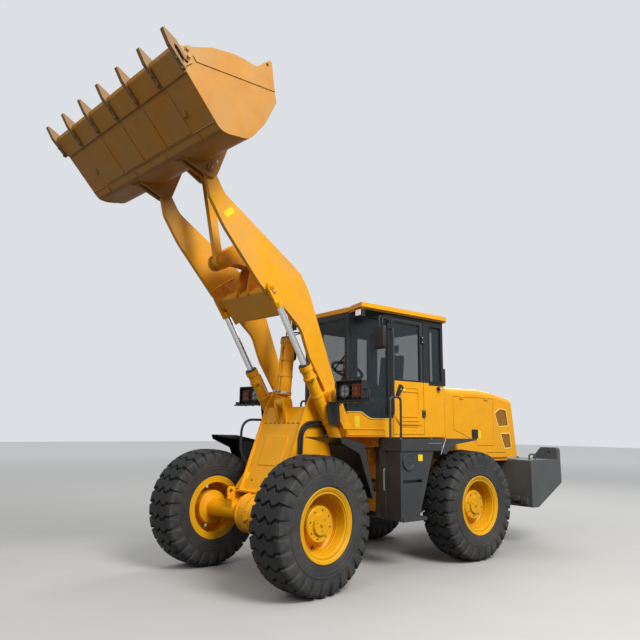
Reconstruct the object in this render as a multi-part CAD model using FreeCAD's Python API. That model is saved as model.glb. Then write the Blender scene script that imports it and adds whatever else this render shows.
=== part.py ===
import FreeCAD, Part
import math
import os

from FreeCAD import Vector

# An articulated wheel loader, parked with its boom up and its front half steered a little to the left.
# Everything is modelled for a straight machine, in millimetres: the origin is on the ground under the
# articulation axis, +X runs to the bucket, +Y to the driver's left and +Z up. A point is (x, z) in a side
# view, (x, y) in a plan and (y, z) in a cross section. A third number is the radius of that corner.

# Running gear
WHEELBASE = 2744
TRACK = 1836
TYRE_RADIUS = 667
TYRE_WIDTH = 440
RIM_SEAT_RADIUS = 300
RIM_FLANGE_RADIUS = 360
RIM_WIDTH = 400
HUB_RADIUS = 150
HUB_REACH = 130
HUB_DISC = 178
HUB_CAP = 100
LUG_COUNT = 28
LUG_DEPTH = 24
SPINDLE_RADIUS = 60

# Steering
STEER_AT_REST = 6.5
STEER_LIMIT = 35

# Fits and gaps
FIT = 0.05
SEAT_GAP = 0.3
SIDE_GAP = 5

# Front frame
FRAME_PLATE = 20
FRAME_HALF = 350
FRAME_BOTTOM = 640
HINGE_PIN_RADIUS = 40
HINGE_EAR = 50
FORK_EAR = 35
HINGE_LEVELS = (685, 1205)
BULKHEAD_X = 300

# Boom and bucket linkage, side-view points of the pins with the boom raised
BOOM_PIVOT = (680, 1950)
BUCKET_PIN = (2471, 4197)
LIFT_ROD_PIN = (1620, 3106)
LIFT_BASE_PIN = (470, 1310)
ROCKER_PIVOT = (1380, 3560)
ROCKER_LOW_PIN = (1985, 3395)
ROCKER_TOP_PIN = (850, 3420)
TILT_BASE_PIN = (985, 1887)
ARM_OUTER = FRAME_HALF + 105
ARM_PLATE = 45
ARM_TIP = 73
LIFT_PLANE = FRAME_HALF + 128
PIN_RADIUS = 35

# Bucket, in its own side view: u from the heel to the lip, n up from the floor
BUCKET_HEEL = (2856, 4194)
BUCKET_ANGLE = 46.5
BUCKET_HALF = 1200
BUCKET_SHEET = 16
BUCKET_SIDE = 20
TOOTH_COUNT = 7
TOOTH_TIP = 943
TOOTH_WIDTH = 45
LINK_PIN = (2195, 4330)

# Cylinders
LIFT_BARREL_RADIUS = 66
LIFT_ROD_RADIUS = 37
LIFT_BARREL_LENGTH = 1160
TILT_BARREL_RADIUS = 84
TILT_ROD_RADIUS = 38
TILT_BARREL_LENGTH = 770
STEER_BARREL_RADIUS = 40
STEER_ROD_RADIUS = 20
STEER_BARREL_LENGTH = 405
STEER_ROD_LENGTH = 408
STEER_LEVEL = 900
STEER_BASE_PIN = (-420, FRAME_HALF - 88)
STEER_ROD_PIN = (225, FRAME_HALF - 88)

# Rear frame and body
DRIVE_SHAFT_LEVEL = 540
DRIVE_SHAFT_RADIUS = 38
DECK_TOP = 1483
DECK_THICK = 138
REAR_FRAME_TOP = DECK_TOP - DECK_THICK
BODY_HALF = 1000
TANK_BOTTOM = 555
TANK_INNER = FRAME_HALF + 30

# Cab
CAB_HALF = 720
CAB_FLOOR = 1500
CAB_TOP = 3020
CAB_REAR = -1200
CAB_WALL = 40
GLASS = 8
A_PILLAR = (-240, -155)
DOOR_REAR = -805
B_PILLAR_REAR = -905
DOOR_SILL = 2190
DOOR_TOP = 2985
DOOR_HINGE_Y = CAB_HALF + 15
CAB_NOSE = 420
CAB_FRONT = 250
CAB_BEND = -120

# Hood and counterweight
HOOD_HALF = 640
HOOD_SHEET = 25
HOOD_BOTTOM = 1216
HOOD_CORNER = 90
WEIGHT_FRONT = -2715
WEIGHT_REAR = -3500
WEIGHT_TOP = 1185

AXLE_X = WHEELBASE / 2
WHEEL_Y = TRACK / 2


def lift(plane, a, b, at):
    """The point (a, b) of a drawing plane that lies at the given distance."""
    return {"xz": Vector(a, at, b), "xy": Vector(a, b, at), "yz": Vector(at, a, b)}[plane]


def outline(points, plane, at=0):
    """A closed wire through the points, with an arc at each corner that has a radius."""
    corners = []
    for index, point in enumerate(points):
        here = Vector(point[0], point[1], 0)
        back = Vector(*points[index - 1][:2], 0) - here
        ahead = Vector(*points[(index + 1) % len(points)][:2], 0) - here
        if len(point) < 3 or not point[2]:
            corners.append((here, here, None))
            continue
        back.normalize()
        ahead.normalize()
        half = back.getAngle(ahead) / 2
        reach = point[2] / math.tan(half)
        inward = (back + ahead).normalize()
        middle = here + inward * (point[2] / math.sin(half) - point[2])
        corners.append((here + back * reach, here + ahead * reach, middle))
    edges = []
    for index, (start, end, middle) in enumerate(corners):
        if middle:
            arc = [lift(plane, p.x, p.y, at) for p in (start, middle, end)]
            edges.append(Part.Arc(*arc).toShape())
        following = corners[(index + 1) % len(corners)][0]
        if (following - end).Length > 0.001:
            edges.append(Part.makeLine(lift(plane, end.x, end.y, at), lift(plane, following.x, following.y, at)))
    return Part.Wire(edges)


def prism(points, plane, low, high):
    """A plate with the given outline, from low to high across its drawing plane."""
    face = Part.Face(outline(points, plane, low))
    return face.extrude(lift(plane, 0, 0, high - low) - lift(plane, 0, 0, 0))


def strip(points, thickness):
    """The outline of a bent sheet: the points and the same bends again, one thickness to their left."""
    far = []
    for index, point in enumerate(points):
        here = Vector(point[0], point[1], 0)
        before = here - Vector(*points[index - 1][:2], 0) if index else None
        after = Vector(*points[index + 1][:2], 0) - here if index < len(points) - 1 else None
        before = before or after
        after = after or before
        before.normalize()
        after.normalize()
        left = (Vector(-before.y, before.x, 0) + Vector(-after.y, after.x, 0)).normalize()
        scale = thickness / max(0.2, left.dot(Vector(-before.y, before.x, 0)))
        turn = before.x * after.y - before.y * after.x
        radius = point[2] if len(point) > 2 else 0
        inner = radius - thickness if turn > 0 else radius + thickness
        far.append((here.x + left.x * scale, here.y + left.y * scale, max(inner, 1) if radius else 0))
    return list(points) + far[::-1]


def box(x0, x1, y0, y1, z0, z1):
    return Part.makeBox(x1 - x0, y1 - y0, z1 - z0, Vector(x0, y0, z0))


def bar(start, end, radius):
    """A round bar between two points."""
    way = Vector(*end) - Vector(*start)
    return Part.makeCylinder(radius, way.Length, Vector(*start), way)


def disc(pin, radius, y0, y1):
    """A round piece across the machine at a side-view point."""
    return bar((pin[0], y0, pin[1]), (pin[0], y1, pin[1]), radius)


def post(x, y, radius, z0, z1):
    return bar((x, y, z0), (x, y, z1), radius)


def turned(profile, centre_y=0):
    """A solid of revolution about the axle line from (y, radius) points."""
    face = Part.Face(outline(profile, "yz"))
    solid = face.revolve(Vector(0, 0, 0), Vector(0, 1, 0), 360)
    return moved(solid, Vector(0, centre_y, 0))


def moved(shape, way):
    """A copy of a shape moved by a vector."""
    copy = shape.copy()
    copy.translate(way)
    return copy


def mirrored(shape):
    return shape.mirror(Vector(0, 0, 0), Vector(0, 1, 0))


def both(shape):
    """A shape and its mirror image on the other side of the machine."""
    return join(shape, mirrored(shape))


def join(*shapes):
    """One solid from several that touch, or a compound of those that don't."""
    first = shapes[0]
    if len(shapes) == 1:
        return first
    return first.multiFuse(list(shapes[1:])).removeSplitter()


def group(*shapes):
    """Pieces that share a node without touching."""
    return Part.makeCompound(list(shapes))


def rail(points, radius, bend):
    """A bent tube of straight runs and equal bends through 3-D points."""
    route = [Vector(*p) for p in points]
    edges = []
    start = route[0]
    for index in range(1, len(route) - 1):
        here = route[index]
        back = (route[index - 1] - here).normalize()
        ahead = (route[index + 1] - here).normalize()
        half = back.getAngle(ahead) / 2
        reach = bend / math.tan(half)
        middle = here + (back + ahead).normalize() * (bend / math.sin(half) - bend)
        edges.append(Part.makeLine(start, here + back * reach))
        edges.append(Part.Arc(here + back * reach, middle, here + ahead * reach).toShape())
        start = here + ahead * reach
    edges.append(Part.makeLine(start, route[-1]))
    path = Part.Wire(edges)
    ring = Part.Wire(Part.makeCircle(radius, route[0], (route[1] - route[0]).normalize()))
    return path.makePipeShell([ring], True, False)


def steered(shape):
    """The front half's pieces are turned about the articulation axis."""
    copy = shape.copy()
    copy.rotate(Vector(0, 0, 0), Vector(0, 0, 1), STEER_AT_REST)
    return copy


def bucket_point(u, n):
    """The side-view point of a bucket point."""
    angle = math.radians(BUCKET_ANGLE)
    x = BUCKET_HEEL[0] + u * math.cos(angle) - n * math.sin(angle)
    z = BUCKET_HEEL[1] + u * math.sin(angle) + n * math.cos(angle)
    return (x, z)


def bucket_outline(points):
    return [bucket_point(*point[:2]) + tuple(point[2:]) for point in points]


# Wheels

def tyre(side):
    """A tyre with a ring of bent lugs, on a wheel centre across the machine."""
    half = TYRE_WIDTH / 2
    seat = RIM_WIDTH / 2 - 12
    floor = TYRE_RADIUS - LUG_DEPTH
    profile = [
        (-seat, RIM_SEAT_RADIUS), (seat, RIM_SEAT_RADIUS), (seat, RIM_FLANGE_RADIUS + SEAT_GAP),
        (half, TYRE_RADIUS - 190), (half - 12, floor), (12 - half, floor), (-half, TYRE_RADIUS - 190),
        (-seat, RIM_FLANGE_RADIUS + SEAT_GAP),
    ]
    carcass = turned(profile)
    pitch = 2 * math.pi * TYRE_RADIUS / LUG_COUNT
    width = 0.6 * pitch
    bend = 0.4 * pitch
    end = half - 12
    plan = [(-bend / 2 - width / 2, -end), (bend / 2 - width / 2, 0), (-bend / 2 - width / 2, end),
            (width / 2 - bend / 2, end), (width / 2 + bend / 2, 0), (width / 2 - bend / 2, -end)]
    lug = prism(plan, "xy", floor - LUG_DEPTH, TYRE_RADIUS)
    lugs = []
    for index in range(LUG_COUNT):
        copy = lug.copy()
        copy.rotate(Vector(0, 0, 0), Vector(0, 1, 0), 360 * index / LUG_COUNT)
        lugs.append(copy)
    solid = carcass.multiFuse(lugs)
    if side < 0:
        solid = mirrored(solid)
    return moved(solid, Vector(0, side * WHEEL_Y, 0))


def rim(side):
    """A rim with its disc, hand holes and planetary hub, bored for the axle's spindle."""
    half = RIM_WIDTH / 2
    wall = 12
    dish = 20
    profile = [
        (-half, RIM_FLANGE_RADIUS), (-half, RIM_SEAT_RADIUS - wall),
        (-dish, RIM_SEAT_RADIUS - wall), (-dish, HUB_RADIUS + 20), (-HUB_RADIUS / 2, HUB_RADIUS),
        (-HUB_RADIUS / 2, SPINDLE_RADIUS + FIT), (HUB_REACH - 60, SPINDLE_RADIUS + FIT),
        (HUB_REACH - 60, 0), (HUB_REACH, 0), (HUB_REACH, HUB_CAP), (HUB_REACH - 22, HUB_CAP),
        (HUB_REACH - 22, HUB_DISC - 12), (HUB_REACH - 34, HUB_DISC), (0, HUB_DISC),
        (0, RIM_SEAT_RADIUS - 4 * wall), (2 * wall, RIM_SEAT_RADIUS - 2 * wall),
        (half - 30, RIM_SEAT_RADIUS - wall), (half, RIM_FLANGE_RADIUS - 25), (half, RIM_FLANGE_RADIUS),
        (half - wall, RIM_FLANGE_RADIUS), (half - wall, RIM_SEAT_RADIUS), (wall - half, RIM_SEAT_RADIUS),
        (wall - half, RIM_FLANGE_RADIUS),
    ]
    solid = turned(profile)
    middle = (HUB_DISC + RIM_SEAT_RADIUS - 2 * wall) / 2
    for way in (-1, 1):
        solid = solid.cut(disc((0, way * middle), HAND_HOLE_RADIUS, -2 * dish, dish))
    if side < 0:
        solid = mirrored(solid)
    return moved(solid, Vector(0, side * WHEEL_Y, 0))


HAND_HOLE_RADIUS = 22


def axle():
    """An axle beam with its differential housing, hub flanges and spindles."""
    beam = 95
    flange = 190
    hub_face = WHEEL_Y - HUB_RADIUS / 2 - SIDE_GAP
    profile = [
        (0, 0), (0, 206), (60, 200), (130, 174), (200, 130), (260, beam), (hub_face - 90, beam + 10),
        (hub_face - 60, flange), (hub_face, flange), (hub_face, SPINDLE_RADIUS),
        (WHEEL_Y + HUB_REACH - 70, SPINDLE_RADIUS), (WHEEL_Y + HUB_REACH - 70, 0),
    ]
    half = moved(turned(profile), Vector(0, 0, TYRE_RADIUS))
    return both(half)


def front_axle():
    nose = bar((AXLE_X, 0, TYRE_RADIUS), (AXLE_X - 330, 0, TYRE_RADIUS - 60), 75)
    pad = box(AXLE_X - 90, AXLE_X + 90, FRAME_HALF - 60, FRAME_HALF + 60, TYRE_RADIUS, AXLE_PAD_TOP)
    shaft = bar((110, 0, DRIVE_SHAFT_LEVEL), (AXLE_X - 320, 0, TYRE_RADIUS - 58), DRIVE_SHAFT_RADIUS)
    yoke = bar((50, 0, DRIVE_SHAFT_LEVEL), (115, 0, DRIVE_SHAFT_LEVEL), 50)
    return join(moved(axle(), Vector(AXLE_X, 0, 0)), nose, both(pad), shaft, yoke)


def rear_axle():
    nose = bar((-AXLE_X, 0, TYRE_RADIUS), (-AXLE_X + 330, 0, TYRE_RADIUS - 60), 75)
    pad = box(-AXLE_X - 90, -AXLE_X + 90, FRAME_HALF - 60, FRAME_HALF + 60, TYRE_RADIUS, AXLE_PAD_TOP)
    return join(moved(axle(), Vector(-AXLE_X, 0, 0)), nose, both(pad))


AXLE_PAD_TOP = 800


# Front frame

def hinge_ears(way, half_gap_ears):
    """The plates round the articulation pins: one per level in front, two per level behind."""
    ears = []
    for level in HINGE_LEVELS:
        for low, high in half_gap_ears:
            points = [(way * (BULKHEAD_X + 5), -190), (way * 60, -85, 60), (way * -95, -85, 84),
                      (way * -95, 85, 84), (way * 60, 85, 60), (way * (BULKHEAD_X + 5), 190)]
            ears.append(prism(points, "xy", level + low, level + high))
    return ears


def front_frame():
    """The tower: two ear plates, the inclined front plate and the articulation ears."""
    inner = FRAME_HALF - FRAME_PLATE / 2
    outer = FRAME_HALF + FRAME_PLATE / 2
    pivot_x, pivot_z = BOOM_PIVOT
    side = prism([
        (BULKHEAD_X - 20, FRAME_BOTTOM - 30), (AXLE_X - 220, FRAME_BOTTOM - 30, 60), (AXLE_X - 130, AXLE_PAD_TOP),
        (AXLE_X + 110, AXLE_PAD_TOP), (AXLE_X + 110, 850), (AXLE_X - 47, 880), (945, 1850, 60),
        (pivot_x + 120, pivot_z + 150, 110), (pivot_x - 130, pivot_z + 120, 110), (540, 1640, 150),
        (340, 1420, 80), (BULKHEAD_X - 20, 1300),
    ], "xz", inner, outer)
    ear = prism([
        (420, 1600), (550, 1600), (pivot_x + 95, pivot_z - 60, 40), (pivot_x + 95, pivot_z + 100, 90),
        (pivot_x - 95, pivot_z + 100, 90), (pivot_x - 100, pivot_z - 40, 100),
    ], "xz", EAR_INNER, EAR_OUTER)
    shelf = box(420, 550, outer, EAR_OUTER, 1590, 1650)
    pivot = disc(BOOM_PIVOT, PIN_RADIUS + 10, inner, EAR_OUTER + 12)
    lift_boss = disc(LIFT_BASE_PIN, 70, outer, LIFT_PLANE - LIFT_EYE / 2 - SIDE_GAP)
    lift_pin = disc(LIFT_BASE_PIN, PIN_RADIUS, inner, LIFT_PLANE + LIFT_EYE / 2 + 15)
    keeper = disc(LIFT_BASE_PIN, 48, LIFT_PLANE + LIFT_EYE / 2 + SIDE_GAP, LIFT_PLANE + LIFT_EYE / 2 + 15)
    hole_x, hole_z = TIE_DOWN_HOLE
    tie_down = prism([(hole_x - 92, AXLE_PAD_TOP), (hole_x + 48, AXLE_PAD_TOP), (hole_x + 48, hole_z + 50, 45),
                      (hole_x - 52, hole_z + 50, 45)], "xz", TIE_DOWN_Y, TIE_DOWN_Y + 20)
    tie_down = tie_down.cut(disc(TIE_DOWN_HOLE, TIE_DOWN_RADIUS, TIE_DOWN_Y - 5, TIE_DOWN_Y + 25))
    tie_foot = box(hole_x - 92, hole_x + 48, outer - 5, TIE_DOWN_Y + 20, AXLE_PAD_TOP, AXLE_PAD_TOP + 15)
    half = join(side, ear, shelf, pivot, lift_boss, lift_pin, keeper, tie_down, tie_foot)

    foot, head = (AXLE_X - 82, 900), (925, 1840)
    front = prism(strip([(AXLE_X + 13, 900), foot + (10,), head], FRAME_PLATE), "xz", -inner, inner)
    along = (Vector(*head, 0) - Vector(*foot, 0)).normalize()
    panel = [Vector(*foot, 0) + along * reach + Vector(along.y, -along.x, 0) * proud
             for reach, proud in ((290, -1), (650, -1), (644, PRESSED), (296, PRESSED))]
    front = join(front, prism([(p.x, p.y) for p in panel], "xz", 150 - inner, inner - 150))
    top = box(560, 960, -inner, inner, 1640, 1660)
    bulkhead = box(BULKHEAD_X, BULKHEAD_X + FRAME_PLATE, -inner, inner, FRAME_BOTTOM - 30, 1300)
    floor = box(BULKHEAD_X, 520, -inner, inner, FRAME_BOTTOM - 30, FRAME_BOTTOM - 15)
    ears = hinge_ears(1, [(-HINGE_EAR / 2, HINGE_EAR / 2)])
    steer_lug = []
    for low in (STEER_LEVEL - 55, STEER_LEVEL + 30):
        steer_lug.append(prism([
            (BULKHEAD_X + 5, 190), (STEER_ROD_PIN[0] - 45, STEER_ROD_PIN[1] - 45, 40),
            (STEER_ROD_PIN[0] - 45, STEER_ROD_PIN[1] + 45, 40), (BULKHEAD_X + 5, 330),
        ], "xy", low, low + 25))
    lugs = []
    for y in (TILT_EYE / 2 + SIDE_GAP, -TILT_EYE / 2 - SIDE_GAP - 30):
        lugs.append(prism([
            (TILT_BASE_PIN[0] - 62, TILT_BASE_PIN[1] + 62, 60), (TILT_BASE_PIN[0] - 110, 1700), (995, 1640),
            (1010, 1690), (TILT_BASE_PIN[0] + 62, TILT_BASE_PIN[1] - 60, 60),
            (TILT_BASE_PIN[0] + 62, TILT_BASE_PIN[1] + 62, 60),
        ], "xz", y, y + 30))
    tilt_pin = disc(TILT_BASE_PIN, PIN_RADIUS, -TILT_EYE / 2 - 40, TILT_EYE / 2 + 40)
    body = join(both(half), front, top, bulkhead, floor, *ears, *steer_lug,
                *[mirrored(lug) for lug in steer_lug], *lugs, tilt_pin)
    return body.cut(post(0, 0, HINGE_PIN_RADIUS + FIT, FRAME_BOTTOM - 60, 1300))


PRESSED = 6
LIFT_EYE = 60
TILT_EYE = 100
EAR_INNER = LIFT_PLANE + LIFT_BARREL_RADIUS + SIDE_GAP + 1
EAR_OUTER = EAR_INNER + 25
TIE_DOWN_Y = FRAME_HALF + 50
TIE_DOWN_HOLE = (AXLE_X + 20, 880)
TIE_DOWN_RADIUS = 22


def front_fenders():
    """Folded plates over the back of the front tyres, on arms from the tower's sides."""
    front, back, low = AXLE_X - 182, AXLE_X - 542, AXLE_X - 717
    shape = [(front, 1498), (back, 1430, 40), (low, 870)]
    sheet = prism(strip(shape[::-1], 8), "xz", 600, FENDER_OUTER)
    flange = prism([(front, 1506), (back - 6, 1438), (low - 7, 872), (low + 35, 870), (back + 70, 1340),
                    (front - 20, 1450)],
                   "xz", FENDER_OUTER - 8, FENDER_OUTER)
    arm = box(low - 5, low + 83, FRAME_HALF + FRAME_PLATE / 2, FENDER_OUTER - 125, 1100, 1140)
    half = join(sheet, flange, arm)
    return group(half, mirrored(half))


FENDER_OUTER = 1125


def hoses():
    """Hydraulic hoses that arch over beside the tower, two on the left and one on the right."""
    y = FRAME_HALF + FRAME_PLATE / 2 + HOSE_RADIUS + 8
    routes = []
    for grow in (0, 38):
        routes.append([(1040 + grow, y, 1190), (1020 + grow, y, 1630 + grow), (690 - grow, y, 1630 + grow),
                       (640 - grow, y, 1480)])
    routes.append([(1160, -y, 1130), (1290, -y, 1300), (1280, -y, 1690), (940, -y, 1690), (925, -y, 1570)])
    tubes = [rail(route, HOSE_RADIUS, 75) for route in routes]
    clamps = []
    places = [(1005, 1115, 1160, 1), (570, 680, 1470, 1), (1120, 1190, 1110, -1), (890, 960, 1555, -1)]
    for x0, x1, z0, side in places:
        clamp = box(x0, x1, FRAME_HALF + FRAME_PLATE / 2, y + HOSE_RADIUS + 4, z0, z0 + 35)
        clamps.append(clamp if side > 0 else mirrored(clamp))
    return group(join(tubes[0], tubes[1], clamps[0], clamps[1]), join(tubes[2], clamps[2], clamps[3]))


HOSE_RADIUS = 15


# Boom

def boom():
    """Two curved plates joined by a box beam that carries the rocker's two webs."""
    inner = ARM_OUTER - ARM_PLATE
    tip_x, tip_z = BUCKET_PIN
    plate = prism([
        (tip_x - ARM_TIP, tip_z + 5), (2262, 3997, 250), (1085, 3302, 700), (574, 2125, 120), (585, 1950),
        (672, 1856), (760, 2060, 200), (1000, 2400, 700), (1130, 2700, 260), (1370, 2890, 200),
        (1500, 3000, 60), (1570, 2975, 40), (1755, 3122, 120), (2250, 3645, 900), (2446, 3925, 180),
        (2502, 4138),
    ], "xz", inner, ARM_OUTER)
    foot = disc(BOOM_PIVOT, 95, inner, ARM_OUTER)
    foot_boss = disc(BOOM_PIVOT, 85, ARM_FOOT_INNER, ARM_FOOT_OUTER)
    tip = disc(BUCKET_PIN, ARM_TIP, inner, ARM_OUTER)
    half = join(plate, foot, tip, foot_boss)
    beam = prism([(1640, 3085, 30), (1405, 2820, 30), (1250, 2940, 30), (1470, 3215, 30)], "xz", -inner, inner)
    webs = []
    for y in (ROCKER_OUTER + SIDE_GAP, -ROCKER_OUTER - SIDE_GAP - 25):
        webs.append(prism([
            (1655, 3060, 20), (1400, 3100), (ROCKER_PIVOT[0] - 85, ROCKER_PIVOT[1] - 40, 60),
            (ROCKER_PIVOT[0] - 80, ROCKER_PIVOT[1] + 85, 75), (ROCKER_PIVOT[0] + 85, ROCKER_PIVOT[1] + 75, 75),
            (1610, 3354, 60),
        ], "xz", y, y + 25))
    pin = disc(ROCKER_PIVOT, PIN_RADIUS, -ROCKER_OUTER - 40, ROCKER_OUTER + 40)
    whole = join(both(half), beam, *webs, pin)
    for side in (-1, 1):
        whole = whole.cut(disc(BOOM_PIVOT, PIN_RADIUS + 10 + FIT, side * 330, side * 560))
        whole = whole.cut(disc(BUCKET_PIN, PIN_RADIUS + FIT, side * 390, side * 470))
    return whole


ARM_FOOT_INNER = FRAME_HALF + FRAME_PLATE / 2 + SIDE_GAP
ARM_FOOT_OUTER = EAR_INNER - SIDE_GAP
ROCKER_INNER = 45
ROCKER_OUTER = 78


def rocker():
    """Two curved plates on a hub, with the link between them at one end and the tilt rod at the other."""
    low_x, low_z = ROCKER_LOW_PIN
    top_x, top_z = ROCKER_TOP_PIN
    shape = [
        (low_x + 32, low_z + 84), (1785, 3648, 180), (1390, 3705, 300), (top_x - 20, top_z + 66),
        (top_x + 15, top_z - 66), (1320, 3480, 300), (1560, 3392, 300), (1790, 3405, 180), (low_x - 36, low_z - 82),
    ]
    plates = []
    for y in (ROCKER_INNER, -ROCKER_OUTER):
        far = y + ROCKER_OUTER - ROCKER_INNER
        plates += [prism(shape, "xz", y, far), disc(ROCKER_LOW_PIN, 90, y, far), disc(ROCKER_TOP_PIN, 70, y, far)]
    hub = disc(ROCKER_PIVOT, 78, -ROCKER_OUTER, ROCKER_OUTER)
    caps = []
    for pin, radius in ((ROCKER_LOW_PIN, 58), (ROCKER_TOP_PIN, 52)):
        caps += [disc(pin, radius, y, y + 12) for y in (ROCKER_OUTER, -ROCKER_OUTER - 12)]
    body = join(*plates, hub, *caps)
    return body.cut(disc(ROCKER_PIVOT, PIN_RADIUS + FIT, -200, 200))


def bucket_link():
    """A flat bar from the rocker's lower pin to the bucket's upper bracket."""
    top = Vector(*LINK_PIN, 0)
    low = Vector(*ROCKER_LOW_PIN, 0)
    along = (top - low).normalize()
    across = Vector(-along.y, along.x, 0)
    corners = [low + across * 48, low - across * 48, top - across * 48, top + across * 48]
    blade = prism([(p.x, p.y) for p in corners], "xz", -30, 30)
    half = ROCKER_INNER - SIDE_GAP
    body = join(blade, disc(ROCKER_LOW_PIN, 68, -half, half), disc(LINK_PIN, 68, -half, half))
    return body.cut(disc(LINK_PIN, PIN_RADIUS + FIT, -100, 100))


# Bucket

BUCKET_BACK = [(720, 0), (0, 0, 70), (-195, 262, 190), (-150, 560, 500), (-45, 838, 60), (300, 1045)]


def wrapped(start, centre, radius, end):
    """The corner whose rounding is a circle's arc, on the tangents from two points round its far side."""
    centre = Vector(*centre, 0)
    lines = []
    for point, turn in ((start, 1), (end, -1)):
        way = centre - Vector(*point, 0)
        angle = math.atan2(way.y, way.x) + turn * math.asin(radius / way.Length)
        lines.append((Vector(*point, 0), Vector(math.cos(angle), math.sin(angle), 0)))
    (a, u), (b, v) = lines
    reach = ((b.x - a.x) * v.y - (b.y - a.y) * v.x) / (u.x * v.y - u.y * v.x)
    return (a.x + u.x * reach, a.y + u.y * reach, radius)


def bucket():
    """The curved shell with its sides, cutting edge, hinge ears and link bracket."""
    half = BUCKET_HALF - 5
    shell = prism(bucket_outline(strip(BUCKET_BACK[::-1], BUCKET_SHEET)), "xz", -half, half)
    side_points = [
        (770, 33, 20), (726, 181, 60), (642, 428, 300), (523, 627, 300), (434, 731, 200), (330, 829, 12),
        (326, 1035, 15), (296, 1052, 12), (110, 925, 60),
    ] + [(u, n) + tuple(r) for u, n, *r in BUCKET_BACK[4:0:-1]] + [(620, 0)]
    side = prism(bucket_outline(side_points), "xz", half - BUCKET_SIDE, half)
    edge = prism(bucket_outline([(560, -10), (765, -10), (795, 8), (765, 22), (560, 22)]), "xz", -half, half)
    cutter = prism(bucket_outline([
        (600, -6), (778, 20), (770, 60), (735, 190, 20), (660, 160, 30), (600, 120, 20),
    ]), "xz", half, half + 16)
    tooth_room = bucket_outline([(630, -60), (950, -60), (950, 60), (630, 60)])
    cutter = cutter.cut(prism(tooth_room, "xz", half - 1, half + 20))
    ears = []
    foot = bucket_point(20, 30)
    head = bucket_point(-187, 640)
    ear = [foot, wrapped(foot, BUCKET_PIN, EAR_RADIUS, head), head, bucket_point(-20, 620), bucket_point(60, 300)]
    for y in EAR_PLACES:
        ears.append(prism(ear, "xz", y, y + BUCKET_EAR))
        ears.append(mirrored(ears[-1]))
    keep = prism(bucket_outline([
        (-60, 905, 0), (900, 905), (900, 16), (30, 16), (-95, 185), (-165, 300), (-150, 520), (-60, 800),
    ]), "xz", -half, half)
    ears = [ear.cut(keep) for ear in ears]
    hinge = disc(BUCKET_PIN, PIN_RADIUS, EAR_PLACES[0], EAR_PLACES[1] + BUCKET_EAR)
    cap = disc(BUCKET_PIN, 50, EAR_PLACES[1] + BUCKET_EAR, EAR_PLACES[1] + BUCKET_EAR + 13)
    brackets = []
    for y in (ROCKER_INNER, -ROCKER_INNER - 28):
        bracket = prism([
            (LINK_PIN[0] - 62, LINK_PIN[1] - 62, 60), (LINK_PIN[0] - 62, LINK_PIN[1] + 62, 60),
            bucket_point(-45, 800), bucket_point(-100, 400), (LINK_PIN[0] + 40, LINK_PIN[1] - 62, 60),
        ], "xz", y, y + 28)
        brackets += [bracket.cut(keep), disc(LINK_PIN, 50, y - 12 if y < 0 else y + 28, y if y < 0 else y + 40)]
    link_pin = disc(LINK_PIN, PIN_RADIUS, -ROCKER_INNER, ROCKER_INNER)
    beyond = bucket_outline([(595, 165), (50, 892), (50, 1200), (900, 1200), (900, 165)])
    doubler = prism(bucket_outline(side_points), "xz", half, half + 8).common(prism(beyond, "xz", half, half + 8))
    wear = []
    for index in range(WEAR_PLATES):
        low = -WEAR_HALF + index * 2 * WEAR_HALF / WEAR_PLATES
        plate = [bucket_point(*p) for p in ((WEAR_FRONT, -8), (WEAR_FRONT, 2), (WEAR_BACK, 2), (WEAR_BACK, -8))]
        wear.append(prism(plate, "xz", low + 12, low + 2 * WEAR_HALF / WEAR_PLATES - 12))
    pins = [both(hinge), both(cap), link_pin]
    return join(shell, both(side), edge, both(cutter), both(doubler), *wear, *ears, *pins, *brackets)


WEAR_PLATES = 4
WEAR_HALF = 860
WEAR_FRONT = 500
WEAR_BACK = 110
BUCKET_EAR = 35
EAR_RADIUS = 95
EAR_PLACES = (ARM_OUTER - ARM_PLATE - SIDE_GAP - BUCKET_EAR, ARM_OUTER + SIDE_GAP)


def bucket_teeth():
    """Flat teeth that straddle the cutting edge, evenly spaced to its corners."""
    tooth = [
        (TOOTH_TIP, -12), (TOOTH_TIP - 4, 4), (810, 50, 10), (650, 50, 8), (650, 22 + SEAT_GAP),
        (765, 22 + SEAT_GAP), (795 + SEAT_GAP, 8), (765, -10 - SEAT_GAP), (575, -10 - SEAT_GAP), (575, -28),
        (810, -40, 15),
    ]
    reach = BUCKET_HALF - 5 + SEAT_GAP + TOOTH_WIDTH / 2
    teeth = []
    for index in range(TOOTH_COUNT):
        y = -reach + 2 * reach * index / (TOOTH_COUNT - 1)
        teeth.append(prism(bucket_outline(tooth), "xz", y - TOOTH_WIDTH / 2, y + TOOTH_WIDTH / 2))
    return group(*teeth)


# Cylinders

def cylinder(base, eye, eye_width, eye_radius, barrel, rod, length, pin, inside):
    """A barrel on its base pin and a rod, both along the line from base to eye in their own plane."""
    start = Vector(*base)
    way = (Vector(*eye) - start).normalize()
    across = Vector(0, 1, 0) if abs(way.y) < 0.001 or abs(way.z) > 0.001 else Vector(0, 0, 1)
    bottom = start + way * (eye_radius + 30)
    head = start + way * length
    tube = Part.makeCylinder(barrel, length - eye_radius - 30, bottom, way)
    gland = Part.makeCylinder(barrel + 10, 60, head - way * 60, way)
    collar = Part.makeCylinder(barrel + 6, 25, bottom, way)
    neck = Part.makeCylinder(min(eye_radius * 0.75, eye_width / 2 - 3), eye_radius + 30, start, way)
    ring = Part.makeCylinder(eye_radius, eye_width, start - across * (eye_width / 2), across)
    body = join(tube, gland, collar, neck, ring)
    body = body.cut(Part.makeCylinder(rod + FIT, length - inside + 20, start + way * (inside - 10), way))
    body = body.cut(Part.makeCylinder(pin + FIT, eye_width + 20, start - across * (eye_width / 2 + 10), across))
    end = Vector(*eye)
    rod_length = (end - start).Length
    return body, start, way, across, rod_length, end


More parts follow.
